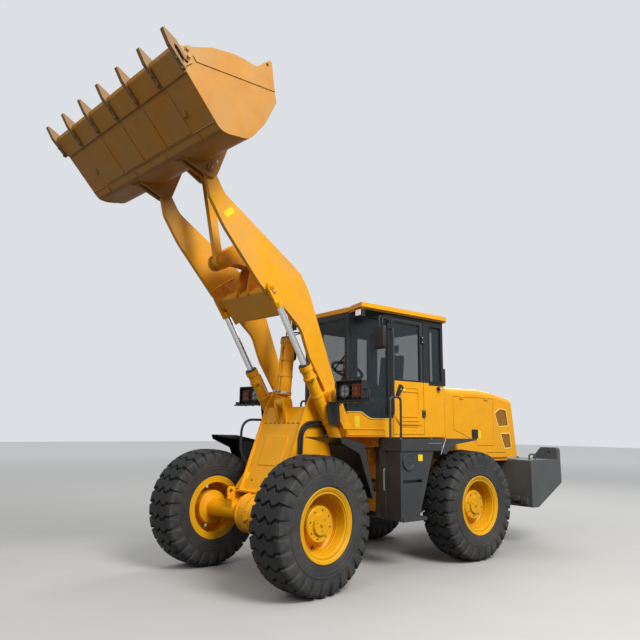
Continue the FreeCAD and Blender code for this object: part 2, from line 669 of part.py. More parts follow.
def lift_cylinders(side):
    """One lift cylinder under an arm: its barrel and its rod."""
    base = (LIFT_BASE_PIN[0], side * LIFT_PLANE, LIFT_BASE_PIN[1])
    eye = (LIFT_ROD_PIN[0], side * LIFT_PLANE, LIFT_ROD_PIN[1])
    reach = 178
    body, start, way, across, span, end = cylinder(
        base, eye, LIFT_EYE, 58, LIFT_BARREL_RADIUS, LIFT_ROD_RADIUS, LIFT_BARREL_LENGTH, PIN_RADIUS, 130)
    shaft = Part.makeCylinder(LIFT_ROD_RADIUS, span - LIFT_ROD_INSIDE - reach, start + way * LIFT_ROD_INSIDE, way)
    gap = ARM_OUTER + SIDE_GAP
    low_x, low_z = LIFT_ROD_PIN[0] - (reach + 70) * way.x, LIFT_ROD_PIN[1] - (reach + 70) * way.z
    neck = Part.makeCylinder(48, 70, end - way * (reach + 70), way)
    tongue = prism([
        (low_x - 48 * way.z, low_z + 48 * way.x), (low_x + 48 * way.z, low_z - 48 * way.x),
        (LIFT_ROD_PIN[0] + 62 * way.z, LIFT_ROD_PIN[1] - 62 * way.x),
        (LIFT_ROD_PIN[0] - 62 * way.z, LIFT_ROD_PIN[1] + 62 * way.x),
    ], "xz", gap, gap + LIFT_ROD_EYE)
    ring = disc(LIFT_ROD_PIN, 62, gap, gap + LIFT_ROD_EYE)
    cap = disc(LIFT_ROD_PIN, 40, gap + LIFT_ROD_EYE, gap + LIFT_ROD_EYE + 10)
    block = join(tongue, ring, cap)
    if side < 0:
        block = mirrored(block)
    return body, join(shaft, neck, block)


LIFT_ROD_INSIDE = 860
LIFT_ROD_EYE = 40


def tilt_cylinder():
    """The cylinder between the arms that turns the rocker."""
    base = (TILT_BASE_PIN[0], 0, TILT_BASE_PIN[1])
    eye = (ROCKER_TOP_PIN[0], 0, ROCKER_TOP_PIN[1])
    body, start, way, across, span, end = cylinder(
        base, eye, TILT_EYE, 62, TILT_BARREL_RADIUS, TILT_ROD_RADIUS, TILT_BARREL_LENGTH, PIN_RADIUS, 130)
    half = ROCKER_INNER - SIDE_GAP
    shaft = Part.makeCylinder(TILT_ROD_RADIUS, span - TILT_ROD_INSIDE - 30, start + way * TILT_ROD_INSIDE, way)
    rod = join(shaft, Part.makeCylinder(60, 2 * half, end - across * half, across))
    return body, rod


TILT_ROD_INSIDE = 560


def steer_cylinder(side):
    """One steering cylinder, level, beside the articulation."""
    base = (STEER_BASE_PIN[0], side * STEER_BASE_PIN[1], STEER_LEVEL)
    turn = math.radians(STEER_AT_REST)
    x = STEER_ROD_PIN[0] * math.cos(turn) - side * STEER_ROD_PIN[1] * math.sin(turn)
    y = STEER_ROD_PIN[0] * math.sin(turn) + side * STEER_ROD_PIN[1] * math.cos(turn)
    eye = (x, y, STEER_LEVEL)
    start = Vector(*base)
    end = Vector(*eye)
    way = (end - start).normalize()
    up = Vector(0, 0, 1)
    length = STEER_BARREL_LENGTH
    body = join(Part.makeCylinder(STEER_BARREL_RADIUS, length - 66, start + way * 66, way),
                Part.makeCylinder(STEER_BARREL_RADIUS + 6, 35, start + way * (length - 35), way),
                Part.makeCylinder(22, 70, start, way),
                Part.makeCylinder(38, STEER_EYE, start - up * (STEER_EYE / 2), up))
    body = body.cut(Part.makeCylinder(STEER_ROD_RADIUS + FIT, length, start + way * 70, way))
    body = body.cut(Part.makeCylinder(STEER_PIN + FIT, 100, start - up * 50, up))
    rod = join(Part.makeCylinder(STEER_ROD_RADIUS, STEER_ROD_LENGTH - 20, end - way * STEER_ROD_LENGTH, way),
               Part.makeCylinder(36, STEER_EYE, end - up * (STEER_EYE / 2), up))
    return body, rod


STEER_EYE = 50
STEER_PIN = 18


# Rear frame and running gear

def rear_frame():
    """Two long side plates with the articulation forks, cross plates and cab mounts."""
    inner = FRAME_HALF - FRAME_PLATE / 2
    outer = FRAME_HALF + FRAME_PLATE / 2
    side = prism([
        (-BULKHEAD_X, 590), (-1000, 590, 60), (-AXLE_X + 210, AXLE_PAD_TOP, 40), (-AXLE_X - 210, AXLE_PAD_TOP, 40),
        (-AXLE_X - 320, 690, 60), (WEIGHT_FRONT, 690), (WEIGHT_FRONT, 1190), (-1420, 1190, 80),
        (-1220, REAR_FRAME_TOP, 80), (-BULKHEAD_X, REAR_FRAME_TOP),
    ], "xz", inner, outer)
    flange = box(-1180, -BULKHEAD_X, inner - 62, outer + 15, REAR_FRAME_TOP - 16, REAR_FRAME_TOP)
    mounts = [post(x, FRAME_HALF - 20, 40, REAR_FRAME_TOP, CAB_FLOOR) for x in (-400, -1100)]
    lip = HOOD_HALF - HOOD_SHEET
    hood_rail = box(WEIGHT_FRONT + 5, -2340, outer, lip - 20, 1170, 1190)
    hood_lip = box(WEIGHT_FRONT + 5, -2340, lip - 20, lip - SEAT_GAP, 1170, HOOD_BOTTOM + 30)
    tank_seat = box(-400, -340, outer, TANK_INNER - SEAT_GAP, 700, 1250)
    half = join(side, flange, *mounts, hood_rail, hood_lip, tank_seat)
    bulkhead = box(-BULKHEAD_X - FRAME_PLATE, -BULKHEAD_X, -inner, inner, 590, REAR_FRAME_TOP)
    cross = [box(x, x + 120, -inner, inner, 1100, 1120) for x in (-2400, -2650)]
    gap = HINGE_EAR / 2 + SIDE_GAP
    ears = hinge_ears(-1, [(gap, gap + FORK_EAR), (-gap - FORK_EAR, -gap)])
    pins = []
    for level in HINGE_LEVELS:
        pins.append(post(0, 0, HINGE_PIN_RADIUS, level - gap - FORK_EAR - 15, level + gap + FORK_EAR + 15))
    steer_lugs = []
    for low in (STEER_LEVEL - STEER_EYE / 2 - SIDE_GAP - 20, STEER_LEVEL + STEER_EYE / 2 + SIDE_GAP):
        steer_lugs.append(prism([
            (STEER_BASE_PIN[0] - 45, STEER_BASE_PIN[1] - 45, 40),
            (STEER_BASE_PIN[0] + 45, STEER_BASE_PIN[1] - 45, 40),
            (STEER_BASE_PIN[0] + 45, inner + 5), (STEER_BASE_PIN[0] - 60, inner + 5),
        ], "xy", low, low + 20))
    steer_pin = post(STEER_BASE_PIN[0], STEER_BASE_PIN[1], STEER_PIN, STEER_LEVEL - 48, STEER_LEVEL + 48)
    window = box(-BULKHEAD_X - 40, -BULKHEAD_X + 20, STEER_BASE_PIN[1] - 85, inner + 2,
                 STEER_LEVEL - 80, STEER_LEVEL + 80)
    body = join(both(half), bulkhead, *cross)
    body = body.cut(window).cut(mirrored(window))
    return join(body, *ears, *pins, *steer_lugs, *[mirrored(lug) for lug in steer_lugs], both(steer_pin))


def power_train():
    """The engine and gearbox as one plain block, with the propeller shaft to the rear axle."""
    back = 412 - AXLE_X
    half = FRAME_HALF - 60
    gearbox = prism([(-460, 500), (back, 500), (back, 940), (-1250, 960), (-1250, 1300), (-460, 1150)],
                    "xz", 90 - half, half - 90)
    engine = box(-2250, -1240, -half, half, 940, 1700)
    carriers = box(-1900, -1800, -FRAME_HALF + 10, FRAME_HALF - 10, 940, 1000)
    shaft = bar((back + 5, 0, 600), (340 - AXLE_X, 0, 607), DRIVE_SHAFT_RADIUS)
    stub = bar((-100, 0, DRIVE_SHAFT_LEVEL), (-470, 0, DRIVE_SHAFT_LEVEL), DRIVE_SHAFT_RADIUS)
    yoke = bar((-60, 0, DRIVE_SHAFT_LEVEL), (-110, 0, DRIVE_SHAFT_LEVEL), 55)
    spider = Part.makeSphere(38, Vector(0, 0, DRIVE_SHAFT_LEVEL))
    neck = bar((-65, 0, DRIVE_SHAFT_LEVEL), (0, 0, DRIVE_SHAFT_LEVEL), 22)
    return join(gearbox, engine, carriers, shaft, stub, yoke, spider, neck)


def counterweight():
    """The cast rear weight: cut away under its tail, with a raised wing at each rear corner."""
    side = [
        (WEIGHT_FRONT, 535, 15), (WEIGHT_FRONT - 152, 535, 30), (WEIGHT_REAR, 845, 40),
        (WEIGHT_REAR, WEIGHT_TOP, 15),
        (WEIGHT_FRONT, WEIGHT_TOP, 15),
    ]
    body = prism(side, "xz", -BODY_HALF, BODY_HALF)
    wing = prism([
        (BODY_HALF - 440, WEIGHT_TOP - 20), (BODY_HALF - 265, 1355, 30), (BODY_HALF, 1355, 40),
        (BODY_HALF, WEIGHT_TOP - 20),
    ], "yz", WEIGHT_REAR, WEIGHT_REAR + WING_THICK)
    hole = bar((WEIGHT_REAR - 5, *WING_HOLE), (WEIGHT_REAR + WING_THICK + 5, *WING_HOLE), WING_HOLE_RADIUS)
    wing = wing.cut(hole)
    slot = box(WEIGHT_REAR - 5, WEIGHT_REAR + 170, -80, 80, 930, 1020)
    bore = post(TOW_PIN_X, 0, TOW_PIN_RADIUS, 860, WEIGHT_TOP + 5)
    return join(body, wing, mirrored(wing)).cut(slot).cut(bore)


TOW_PIN_X = WEIGHT_REAR + 90
TOW_PIN_RADIUS = 20
WING_THICK = 90
WING_HOLE = (BODY_HALF - 130, 1270)
WING_HOLE_RADIUS = 26


def tanks():
    """The step-side tanks ahead of the rear wheels, cut back along the tyre."""
    outer = BODY_HALF - 15
    side = prism([(-90, TANK_BOTTOM, 12), (-385, TANK_BOTTOM, 12), (-665, REAR_FRAME_TOP), (-90, REAR_FRAME_TOP)],
                 "xz", TANK_INNER, outer)
    plan = prism([(-91, outer, 12), (-62, CAB_HALF, 12), (-268, TANK_INNER), (-700, TANK_INNER), (-700, outer)],
                 "xy", 500, REAR_FRAME_TOP - SEAT_GAP)
    body = side.common(plan)
    cover = bar((-216, outer - 10, 1222), (-216, outer + 14, 1222), 98)
    slot = box(-450, -125, outer - 45, outer + 5, 980, 1015)
    step = join(box(-510, -110, outer - 105, outer + 15, TANK_BOTTOM - 5, TANK_BOTTOM + 35),
                box(-300, -120, outer - 115, outer, TANK_BOTTOM, TANK_BOTTOM + 30))
    body = join(body.cut(slot), cover, step)
    return group(body, mirrored(body))


def deck():
    """The platforms beside the cab, running back into the rear fenders' wings."""
    inner = TANK_INNER - 5
    plan = [(-90, BODY_HALF, 10), (-62, CAB_HALF + 15, 10), (-268, inner), (-700, inner), (-700, BODY_HALF)]
    slab = prism(plan, "xy", DECK_TOP - DECK_THICK, DECK_TOP)
    wing_top = prism([(-690, DECK_TOP - 12), (-690, DECK_TOP + 2), (-1500, DECK_TOP + 2), (-1500, DECK_TOP - 12)],
                     "xz", HOOD_HALF + SEAT_GAP, BODY_HALF)
    edge = [(-690, DECK_TOP), (-690, 1345), (-780, 1345), (-870, 1290), (-1025, 1412), (-1500, DECK_TOP - 15),
            (-1500, DECK_TOP)]
    wing_side = prism(edge, "xz", BODY_HALF - 12, BODY_HALF)
    body = join(slab, wing_top, wing_side)
    return group(body, mirrored(body))


# Cab

def cab_plan(inset):
    """The cab's plan with its walls drawn in by the inset."""
    nose = math.atan2(CAB_HALF - CAB_NOSE, CAB_FRONT - CAB_BEND)
    front = CAB_FRONT - inset
    bend_y = CAB_HALF - inset
    bend_x = CAB_BEND - inset * math.tan(nose / 2)
    nose_y = CAB_NOSE - inset * math.tan((math.pi / 2 - nose) / 2)
    return [(CAB_REAR + inset, bend_y), (bend_x, bend_y), (front, nose_y), (front, -nose_y), (bend_x, -bend_y),
            (CAB_REAR + inset, -bend_y)]


def cab_ring(outer, inner, z0, z1):
    """The cab's wall between two insets."""
    return prism(cab_plan(outer), "xy", z0, z1).cut(prism(cab_plan(inner), "xy", z0 - 1, z1 + 1))


def front_glass_cut():
    """The space above the front panel's curved upper edge."""
    side = prism([
        (A_PILLAR[0], 1730), (20, 1730, 90), (110, 1812, 90), (400, 1812), (400, 3200), (A_PILLAR[0], 3200),
    ], "xz", -CAB_HALF - 100, CAB_HALF + 100)
    centre = prism([(-CAB_NOSE, 1815), (100 - CAB_NOSE, 1665, 20), (CAB_NOSE - 100, 1665, 20), (CAB_NOSE, 1815),
                    (CAB_NOSE, 3200), (-CAB_NOSE, 3200)], "yz", 160, 400)
    return join(side, centre)


def door_space(grow):
    """The door opening on the left side, grown all round."""
    return box(DOOR_REAR - grow, A_PILLAR[0] + grow, CAB_HALF - 100, CAB_HALF + 100,
               CAB_FLOOR + 30 - grow, DOOR_TOP + grow)


def cab_body():
    """The painted lower cab: floor, front panel with its curved edge, side and rear panels."""
    ring = cab_ring(0, CAB_WALL, CAB_FLOOR, 2160)
    ring = ring.cut(front_glass_cut())
    floor = prism(cab_plan(0), "xy", CAB_FLOOR, CAB_FLOOR + 30)
    body = join(ring, floor)
    for door in (door_space(0), mirrored(door_space(0))):
        body = body.cut(door)
    lower_b = box(B_PILLAR_REAR, DOOR_REAR, CAB_HALF - CAB_WALL, CAB_HALF, 2160, DOOR_SILL)
    return join(body, both(lower_b))


QUARTER_WINDOW = (-1160, -920, 2205, 2950)
REAR_WINDOW = (560, 2230, 2930)


def window_cuts():
    """Openings of the quarter windows, the rear window and the front panes, as closed blocks."""
    x0, x1, z0, z1 = QUARTER_WINDOW
    quarter = box(x0, x1, -CAB_HALF - 100, CAB_HALF + 100, z0, z1)
    half, low, high = REAR_WINDOW
    rear = box(CAB_REAR - 100, CAB_REAR + 100, -half, half, low, high)
    panes = box(A_PILLAR[1], 500, -CAB_HALF - 100, CAB_HALF + 100, 1600, 2955)
    corner_posts = [post(CAB_FRONT - 22, side * (CAB_NOSE - 15), 34, 1600, 3000) for side in (-1, 1)]
    panes = panes.common(front_glass_cut()).cut(join(*corner_posts))
    return quarter, rear, panes


def cab_frame():
    """The dark upper cab: pillars, top rail and window surrounds."""
    ring = cab_ring(0, CAB_WALL, 1600, CAB_TOP)
    rear = box(-1500, B_PILLAR_REAR, -CAB_HALF - 100, CAB_HALF + 100, 1500, 2160)
    door_post = box(B_PILLAR_REAR, DOOR_REAR, -CAB_HALF - 100, CAB_HALF + 100, 1500, DOOR_SILL)
    front = box(A_PILLAR[0], 500, -CAB_HALF - 100, CAB_HALF + 100, 1500, 3200).cut(front_glass_cut())
    ring = ring.cut(rear).cut(door_post).cut(front)
    for cut in window_cuts():
        ring = ring.cut(cut)
    for door in (door_space(0), mirrored(door_space(0))):
        ring = ring.cut(door)
    return ring


def cab_glass():
    """Flat panes set in the middle of the cab's walls."""
    ring = cab_ring(CAB_WALL / 2 - GLASS / 2, CAB_WALL / 2 + GLASS / 2, 1500, CAB_TOP)
    return group(*[ring.common(cut) for cut in window_cuts()])


def cab_roof():
    """The roof slab with its chamfered corners and a raised middle."""
    half = CAB_HALF + 60
    plan = [(-1250, half, 60), (322, half - 5, 20), (255, half - 275, 30), (215, half - 355, 30),
            (215, 355 - half, 30), (255, 275 - half, 30), (322, 5 - half, 20), (-1250, -half, 60)]
    slab = prism(plan, "xy", CAB_TOP + 20, CAB_TOP + 75)
    lining = prism([(x + 20 if x < 0 else x - 20, y - 20 if y > 0 else y + 20) for x, y, *_ in plan], "xy",
                   CAB_TOP, CAB_TOP + 25)
    inside = half - 120
    middle = [(-1150, inside, 80), (120, inside, 80), (120, -inside, 80), (-1150, -inside, 80)]
    crown = prism(middle, "xy", CAB_TOP + 70, CAB_TOP + 108)
    return join(slab, lining, crown)


DOOR_SKIN = 6


def cab_door():
    """The left door: pressed lower panel and a window frame above, hung on its rear edge."""
    gap = SIDE_GAP
    x0, x1 = DOOR_REAR + gap, A_PILLAR[0] - gap
    z0, z1 = CAB_FLOOR + 30 + gap, DOOR_TOP - gap
    frame = box(x0, x1, CAB_HALF - CAB_WALL, CAB_HALF - DOOR_SKIN, z0, z1)
    skin = box(x0, x1, CAB_HALF - DOOR_SKIN - 1, CAB_HALF, z0, DOOR_SILL)
    press = prism([(x0 + 110, 2105, 15), (-385, 2105, 15), (-300, 1960, 15), (-300, 1700, 15), (-385, 1600, 15),
                   (x0 + 110, 1600, 15)], "xz", CAB_HALF - 5, CAB_HALF + 1)
    window = box(x0 + 55, x1 - 22, CAB_HALF - CAB_WALL - 1, CAB_HALF + 1, DOOR_SILL + 12, z1 - 40)
    hollow = box(x0 + 30, x1 - 30, CAB_HALF - CAB_WALL - 1, CAB_HALF - 12, z0 + 30, DOOR_SILL - 30)
    hinges = []
    for z in (1750, 2700):
        hinges.append(post(DOOR_REAR, DOOR_HINGE_Y, 11, z, z + 90))
        hinges.append(box(DOOR_REAR + gap, DOOR_REAR + 40, CAB_HALF - DOOR_SKIN, DOOR_HINGE_Y, z, z + 90))
    grip = [(-405, 2110, 8), (-350, 2150, 8), (-290, 2020, 8), (-320, 2000, 8)]
    handle = prism(grip, "xz", CAB_HALF, CAB_HALF + 35)
    door = join(join(frame, skin).cut(window).cut(hollow).cut(press), *hinges, handle)
    glass = box(x0 + 55, x1 - 22, CAB_HALF - CAB_WALL / 2 - GLASS / 2, CAB_HALF - CAB_WALL / 2 + GLASS / 2,
                DOOR_SILL + 12, z1 - 40)
    return door, glass


def seat():
    """The driver's seat on its pedestal."""
    base = box(-900, -500, -200, 200, CAB_FLOOR + 30 + SEAT_GAP, 1850)
    cushion = box(-930, -440, -250, 250, 1850, 1990)
    back = prism([(-930, 1940), (-830, 1940), (-920, 2640, 30), (-1010, 2640, 30)], "xz", -235, 235)
    head = prism([(-935, 2620), (-1000, 2620), (-1010, 2780, 20), (-945, 2780, 20)], "xz", -130, 130)
    return join(base, cushion, back, head)


def steering_column():
    """The dashboard box, the column and the steering wheel."""
    foot = CAB_FLOOR + 30 + SEAT_GAP
    console = prism([(205, foot), (-40, foot), (40, 2050, 30), (180, 2050, 30)], "xz", -190, 190)
    centre = Vector(-122, 0, 2352)
    column = bar((80, 0, 1950), tuple(centre), 32)
    way = Vector(-190, 0, 380).normalize()
    wheel = Part.makeCylinder(221, 24, centre - way * 12, way)
    wheel = wheel.cut(Part.makeCylinder(191, 30, centre - way * 15, way))
    across = Vector(0, 1, 0)
    spokes = [bar(tuple(centre - across * 200), tuple(centre + across * 200), 10),
              bar(tuple(centre), tuple(centre - way.cross(across) * -200), 10)]
    return join(console, column, wheel, *spokes)


def handrails():
    """Grab rails at both doors: a hoop on the platform and a long bar up the front pillar."""
    hoop_y = CAB_HALF + 160
    front, back, top = -30, -210, 1975
    hoop = rail([(front, hoop_y, DECK_TOP), (front, hoop_y, top), (back, hoop_y, top), (back, hoop_y, DECK_TOP)], 14, 50)
    long_bar = rail([(-198, CAB_HALF, 1775), (-198, CAB_HALF + 55, 1775), (-198, CAB_HALF + 55, 2830),
                     (-198, CAB_HALF, 2830)], 14, 30)
    return group(hoop, long_bar, mirrored(hoop), mirrored(long_bar))


def mirrors():
    """Wing mirrors on looped arms from the roof's edge."""
    inner, outer = CAB_HALF + 80, CAB_HALF + 265
    case = box(120, 175, inner, outer, 2530, 2800)
    middle = inner + 90
    arm = rail([(150, middle, 2800), (150, middle, 2935), (0, inner, 2935), (-170, CAB_HALF + 12, 2935)], 10, 40)
    foot = box(-215, -150, CAB_HALF + SEAT_GAP, CAB_HALF + 14, 2915, 2955)
    body = join(case, arm, foot)
    return group(body, mirrored(body))


def roof_lamps():
    """Work lamps under the roof's front corners."""
    case = box(245, 310, 640, 750, 2930, CAB_TOP)
    rear = box(-1235, -1205, 520, 640, 2945, CAB_TOP)
    return group(case, mirrored(case), rear, mirrored(rear))


LAMP_INNER = 690
LAMP_OUTER = 1070


def headlamps():
    """Lamp clusters with wire guards on brackets from the tower's ears."""
    bracket = prism([(620, 1640), (800, 1640), (840, 1880, 20), (640, 1880, 20)], "xz",
                    EAR_OUTER + SEAT_GAP, EAR_OUTER + 12)
    shelf = box(690, 800, EAR_OUTER + SEAT_GAP, 1190, 1880, 1895)
    case = box(700, 800, LAMP_INNER, LAMP_OUTER, 1895, 2120)
    case = case.cut(box(730, 805, LAMP_INNER + 8, LAMP_OUTER - 8, 1903, 2112))
    lamp = bar((725, 790, 2008), (770, 790, 2008), 82)
    turn_lamp = box(725, 775, 905, 1040, 1935, 2080)
    guard = []
    for step in range(1, 6):
        y = LAMP_INNER + step * (LAMP_OUTER - LAMP_INNER) / 6
        guard.append(box(794, 800, y - 3, y + 3, 1898, 2117))
    for step in range(1, 4):
        z = 1895 + step * 225 / 4
        guard.append(box(794, 800, LAMP_INNER + 3, LAMP_OUTER - 3, z - 3, z + 3))
    body = join(bracket, shelf, case, lamp, turn_lamp, *guard)
    return group(body, mirrored(body))


# Hood

# Stations of the hood: x at its top, x at its foot, height of its top
HOOD_STATIONS = [(-1205, -1205, 2165), (-2060, -2060, 2172), (-2390, -2390, 2142), (-2815, -2925, 2070)]


def hood_block(inset, low):
    wires = []
    for index, (x_top, x_low, z_top) in enumerate(HOOD_STATIONS):
        shift = 0
        if inset and index == 0:
            shift = 1
        if index == len(HOOD_STATIONS) - 1:
            shift = inset
        points = [(-HOOD_HALF + inset, low), (-HOOD_HALF + inset, z_top - inset, HOOD_CORNER - inset),
                  (HOOD_HALF - inset, z_top - inset, HOOD_CORNER - inset), (HOOD_HALF - inset, low)]
        slope = (x_low - x_top) / (z_top - HOOD_BOTTOM)
        wires.append(section(points, x_top + shift, slope, z_top))
    return Part.makeLoft(wires, True, True)


def section(points, x_top, slope, z_top):
    """A closed section with rounded shoulders whose plane leans by the slope below z_top."""
    def place(y, z):
        return Vector(x_top + slope * (z_top - z), y, z)
    (y0, low), (_, high, radius), (y1, _, _), _ = points
    bend = radius * (1 - math.sqrt(0.5))
    left = Part.Arc(place(y0, high - radius), place(y0 + bend, high - bend), place(y0 + radius, high)).toShape()
    right = Part.Arc(place(y1 - radius, high), place(y1 - bend, high - bend), place(y1, high - radius)).toShape()
    edges = [Part.makeLine(place(y0, low), place(y0, high - radius)), left,
             Part.makeLine(place(y0 + radius, high), place(y1 - radius, high)), right,
             Part.makeLine(place(y1, high - radius), place(y1, low)), Part.makeLine(place(y1, low), place(y0, low))]
    return Part.Wire(edges)


HOOD_DOOR = [(-1480, 2050), (-2375, 2050), (-2375, 1380), (-2000, 1380), (-1920, 1450), (-1480, 1600)]
GRILLES = [
    [(-2410, 1845), (-2540, 1912), (-2690, 1893), (-2735, 1663), (-2490, 1650)],
    [(-2535, 1552), (-2760, 1556), (-2785, 1348), (-2620, 1340)],
]


WHEEL_ARCH = [(-1200, 1200), (-1200, 1310), (-1313, 1314), (-1619, 1335), (-1938, 1305), (-2250, 1200)]


def hood():
    """The engine hood: one rounded shell, open below, with side doors and mesh windows cut out."""
    shell = hood_block(0, HOOD_BOTTOM).cut(hood_block(HOOD_SHEET, HOOD_BOTTOM - 50))
    shell = shell.cut(prism(HOOD_DOOR, "xz", -900, 900))
    for points in GRILLES:
        shell = shell.cut(prism(points, "xz", -900, 900))
    shell = shell.cut(prism(WHEEL_ARCH, "xz", -900, 900))
    cowl = prism([(-1205, CAB_HALF - 25), (-1205, HOOD_HALF - 5), (-1330, HOOD_HALF - 5)], "xy",
                 HOOD_BOTTOM + 290, 2140)
    return join(shell, both(cowl)).cut(rear_opening())


REAR_GRILLE = (420, 1330, 1950)


def rear_opening():
    half, low, high = REAR_GRILLE
    return box(WEIGHT_REAR, WEIGHT_FRONT, -half, half, low, high)


def hood_door():
    """The left side door of the hood, hung along its upper edge."""
    gap = SIDE_GAP
    x0, x1 = HOOD_DOOR[1][0] + gap, HOOD_DOOR[0][0] - gap
    points = [(x1, 2050 - gap), (x0, 2050 - gap), (x0, 1380 + gap), (-2000, 1380 + gap), (-1920, 1450 + gap),
              (x1, 1600 + gap)]
    panel = prism(points, "xz", HOOD_HALF - HOOD_SHEET, HOOD_HALF)
    hinge = [bar((x, *HOOD_HINGE), (x + 80, *HOOD_HINGE), 8) for x in (-2250, -1700)]
    leaves = [box(x, x + 80, HOOD_HALF - 2, HOOD_HINGE[0] + 4, 2020, HOOD_HINGE[1]) for x in (-2250, -1700)]
    latch = box(-1915, -1875, HOOD_HALF, HOOD_HALF + 8, 1540, 1600)
    return join(panel, *hinge, *leaves, latch)


HOOD_HINGE = (HOOD_HALF + 10, 2048)


def hood_grilles():
    """Mesh panels behind the hood's side windows and its rear opening."""
    panels = []
    for points in GRILLES:
        panel = prism(points, "xz", HOOD_HALF - HOOD_SHEET + 4, HOOD_HALF - HOOD_SHEET + 14)
        panels.append(panel)
        panels.append(mirrored(panel))
    block = hood_block(8, HOOD_BOTTOM - 50).cut(hood_block(16, HOOD_BOTTOM - 60))
    rear = block.common(rear_opening())
    foot_x, top_x, top_z = HOOD_STATIONS[-1][1], HOOD_STATIONS[-1][0], HOOD_STATIONS[-1][2]
    lean = (top_x - foot_x) / (top_z - HOOD_BOTTOM)
    half, low, high = REAR_GRILLE
    slats = []
    for step in range(SLAT_COUNT):
        z = low + (step + 0.5) * (high - low) / SLAT_COUNT
        x = foot_x + lean * (z - HOOD_BOTTOM)
        blade = [(x - 2, z - 8), (x + 12, z - 2), (x + 12, z + 12), (x + 8, z + 12)]
        slats.append(prism(blade, "xz", SIDE_GAP - half, half - SIDE_GAP))
    return group(*panels, join(rear, *slats))


SLAT_COUNT = 9


def nodes():
    """Every piece by name, with True for those that turn with the front half."""
    pieces = {}
    for name, side, ahead in (("fl", 1, 1), ("fr", -1, 1), ("rl", 1, -1), ("rr", -1, -1)):
        place = Vector(ahead * AXLE_X, 0, TYRE_RADIUS)
        pieces["tyre_" + name] = (moved(tyre(side), place), ahead > 0)
        pieces["rim_" + name] = (moved(rim(side), place), ahead > 0)
    pieces["front_axle"] = (front_axle(), True)
    pieces["front_frame"] = (front_frame(), True)
    pieces["front_fenders"] = (front_fenders(), True)
    pieces["headlamps"] = (headlamps(), True)
    pieces["hoses"] = (hoses(), True)
    pieces["boom"] = (boom(), True)
    pieces["rocker"] = (rocker(), True)
    pieces["bucket_link"] = (bucket_link(), True)
    pieces["bucket"] = (bucket(), True)
    pieces["bucket_teeth"] = (bucket_teeth(), True)
    for name, side in (("left", 1), ("right", -1)):
        barrel, rod = lift_cylinders(side)
        pieces["lift_barrel_" + name] = (barrel, True)
        pieces["lift_rod_" + name] = (rod, True)
        barrel, rod = steer_cylinder(side)
        pieces["steer_barrel_" + name] = (barrel, False)
        pieces["steer_rod_" + name] = (rod, False)
    barrel, rod = tilt_cylinder()
    pieces["tilt_barrel"] = (barrel, True)
    pieces["tilt_rod"] = (rod, True)
    pieces["rear_axle"] = (rear_axle(), False)
    pieces["rear_frame"] = (rear_frame(), False)
    pieces["power_train"] = (power_train(), False)
    pieces["counterweight"] = (counterweight(), False)
    pieces["tanks"] = (tanks(), False)
    pieces["deck"] = (deck(), False)
    pieces["cab_body"] = (cab_body(), False)
    pieces["cab_frame"] = (cab_frame(), False)
    pieces["cab_glass"] = (cab_glass(), False)
    pieces["cab_roof"] = (cab_roof(), False)
    door, glass = cab_door()
    pieces["door_left"] = (door, False)
    pieces["door_left_glass"] = (glass, False)
    pieces["door_right"] = (mirrored(door), False)
    pieces["door_right_glass"] = (mirrored(glass), False)
    pieces["seat"] = (seat(), False)
    pieces["steering_column"] = (steering_column(), False)
    pieces["handrails"] = (handrails(), False)
    pieces["mirrors"] = (mirrors(), False)
    pieces["roof_lamps"] = (roof_lamps(), False)
    pieces["hood"] = (hood(), False)
    pieces["hood_door_left"] = (hood_door(), False)
    pieces["hood_door_right"] = (mirrored(hood_door()), False)
    pieces["hood_grilles"] = (hood_grilles(), False)
    return {name: steered(shape) if front else shape for name, (shape, front) in pieces.items()}


def origin(shapes):
    """The middle of the whole machine's box, at the ground."""
    whole = Part.makeCompound(list(shapes)).BoundBox
    return Vector(whole.Center.x, whole.Center.y, 0)


def main():
    os.makedirs("parts", exist_ok=True)
    pieces = nodes()
    centre = origin(pieces.values())
    for name, shape in pieces.items():
        moved(shape, centre * -1).exportStep("parts/" + name + ".step")
        print(name, len(shape.Solids), "solids", round(shape.Volume / 1e6, 2), "litres", shape.isValid())
    print("origin", round(centre.x, 3), round(centre.y, 3))


main()
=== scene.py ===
import math

import bmesh
import bpy
from mathutils import Matrix, Vector


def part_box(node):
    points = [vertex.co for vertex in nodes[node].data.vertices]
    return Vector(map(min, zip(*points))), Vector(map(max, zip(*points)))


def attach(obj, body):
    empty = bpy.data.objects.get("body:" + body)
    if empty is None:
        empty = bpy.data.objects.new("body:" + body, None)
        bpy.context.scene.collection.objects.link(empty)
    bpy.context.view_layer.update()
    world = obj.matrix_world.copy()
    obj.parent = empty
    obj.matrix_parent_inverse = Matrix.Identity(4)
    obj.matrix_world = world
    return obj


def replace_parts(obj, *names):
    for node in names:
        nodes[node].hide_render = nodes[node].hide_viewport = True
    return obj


# The loader's looks: camera, light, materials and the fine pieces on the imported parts.
# Lengths are metres. Points of the rear half are given from the articulation axis at the ground,
# with +X ahead, +Y to the driver's left and +Z up. Points of the front half use the same frame,
# turned with it.

STEER = math.radians(6.5)
AXLE_X = 1.372
WHEEL_Y = 0.918
WHEEL_Z = 0.667

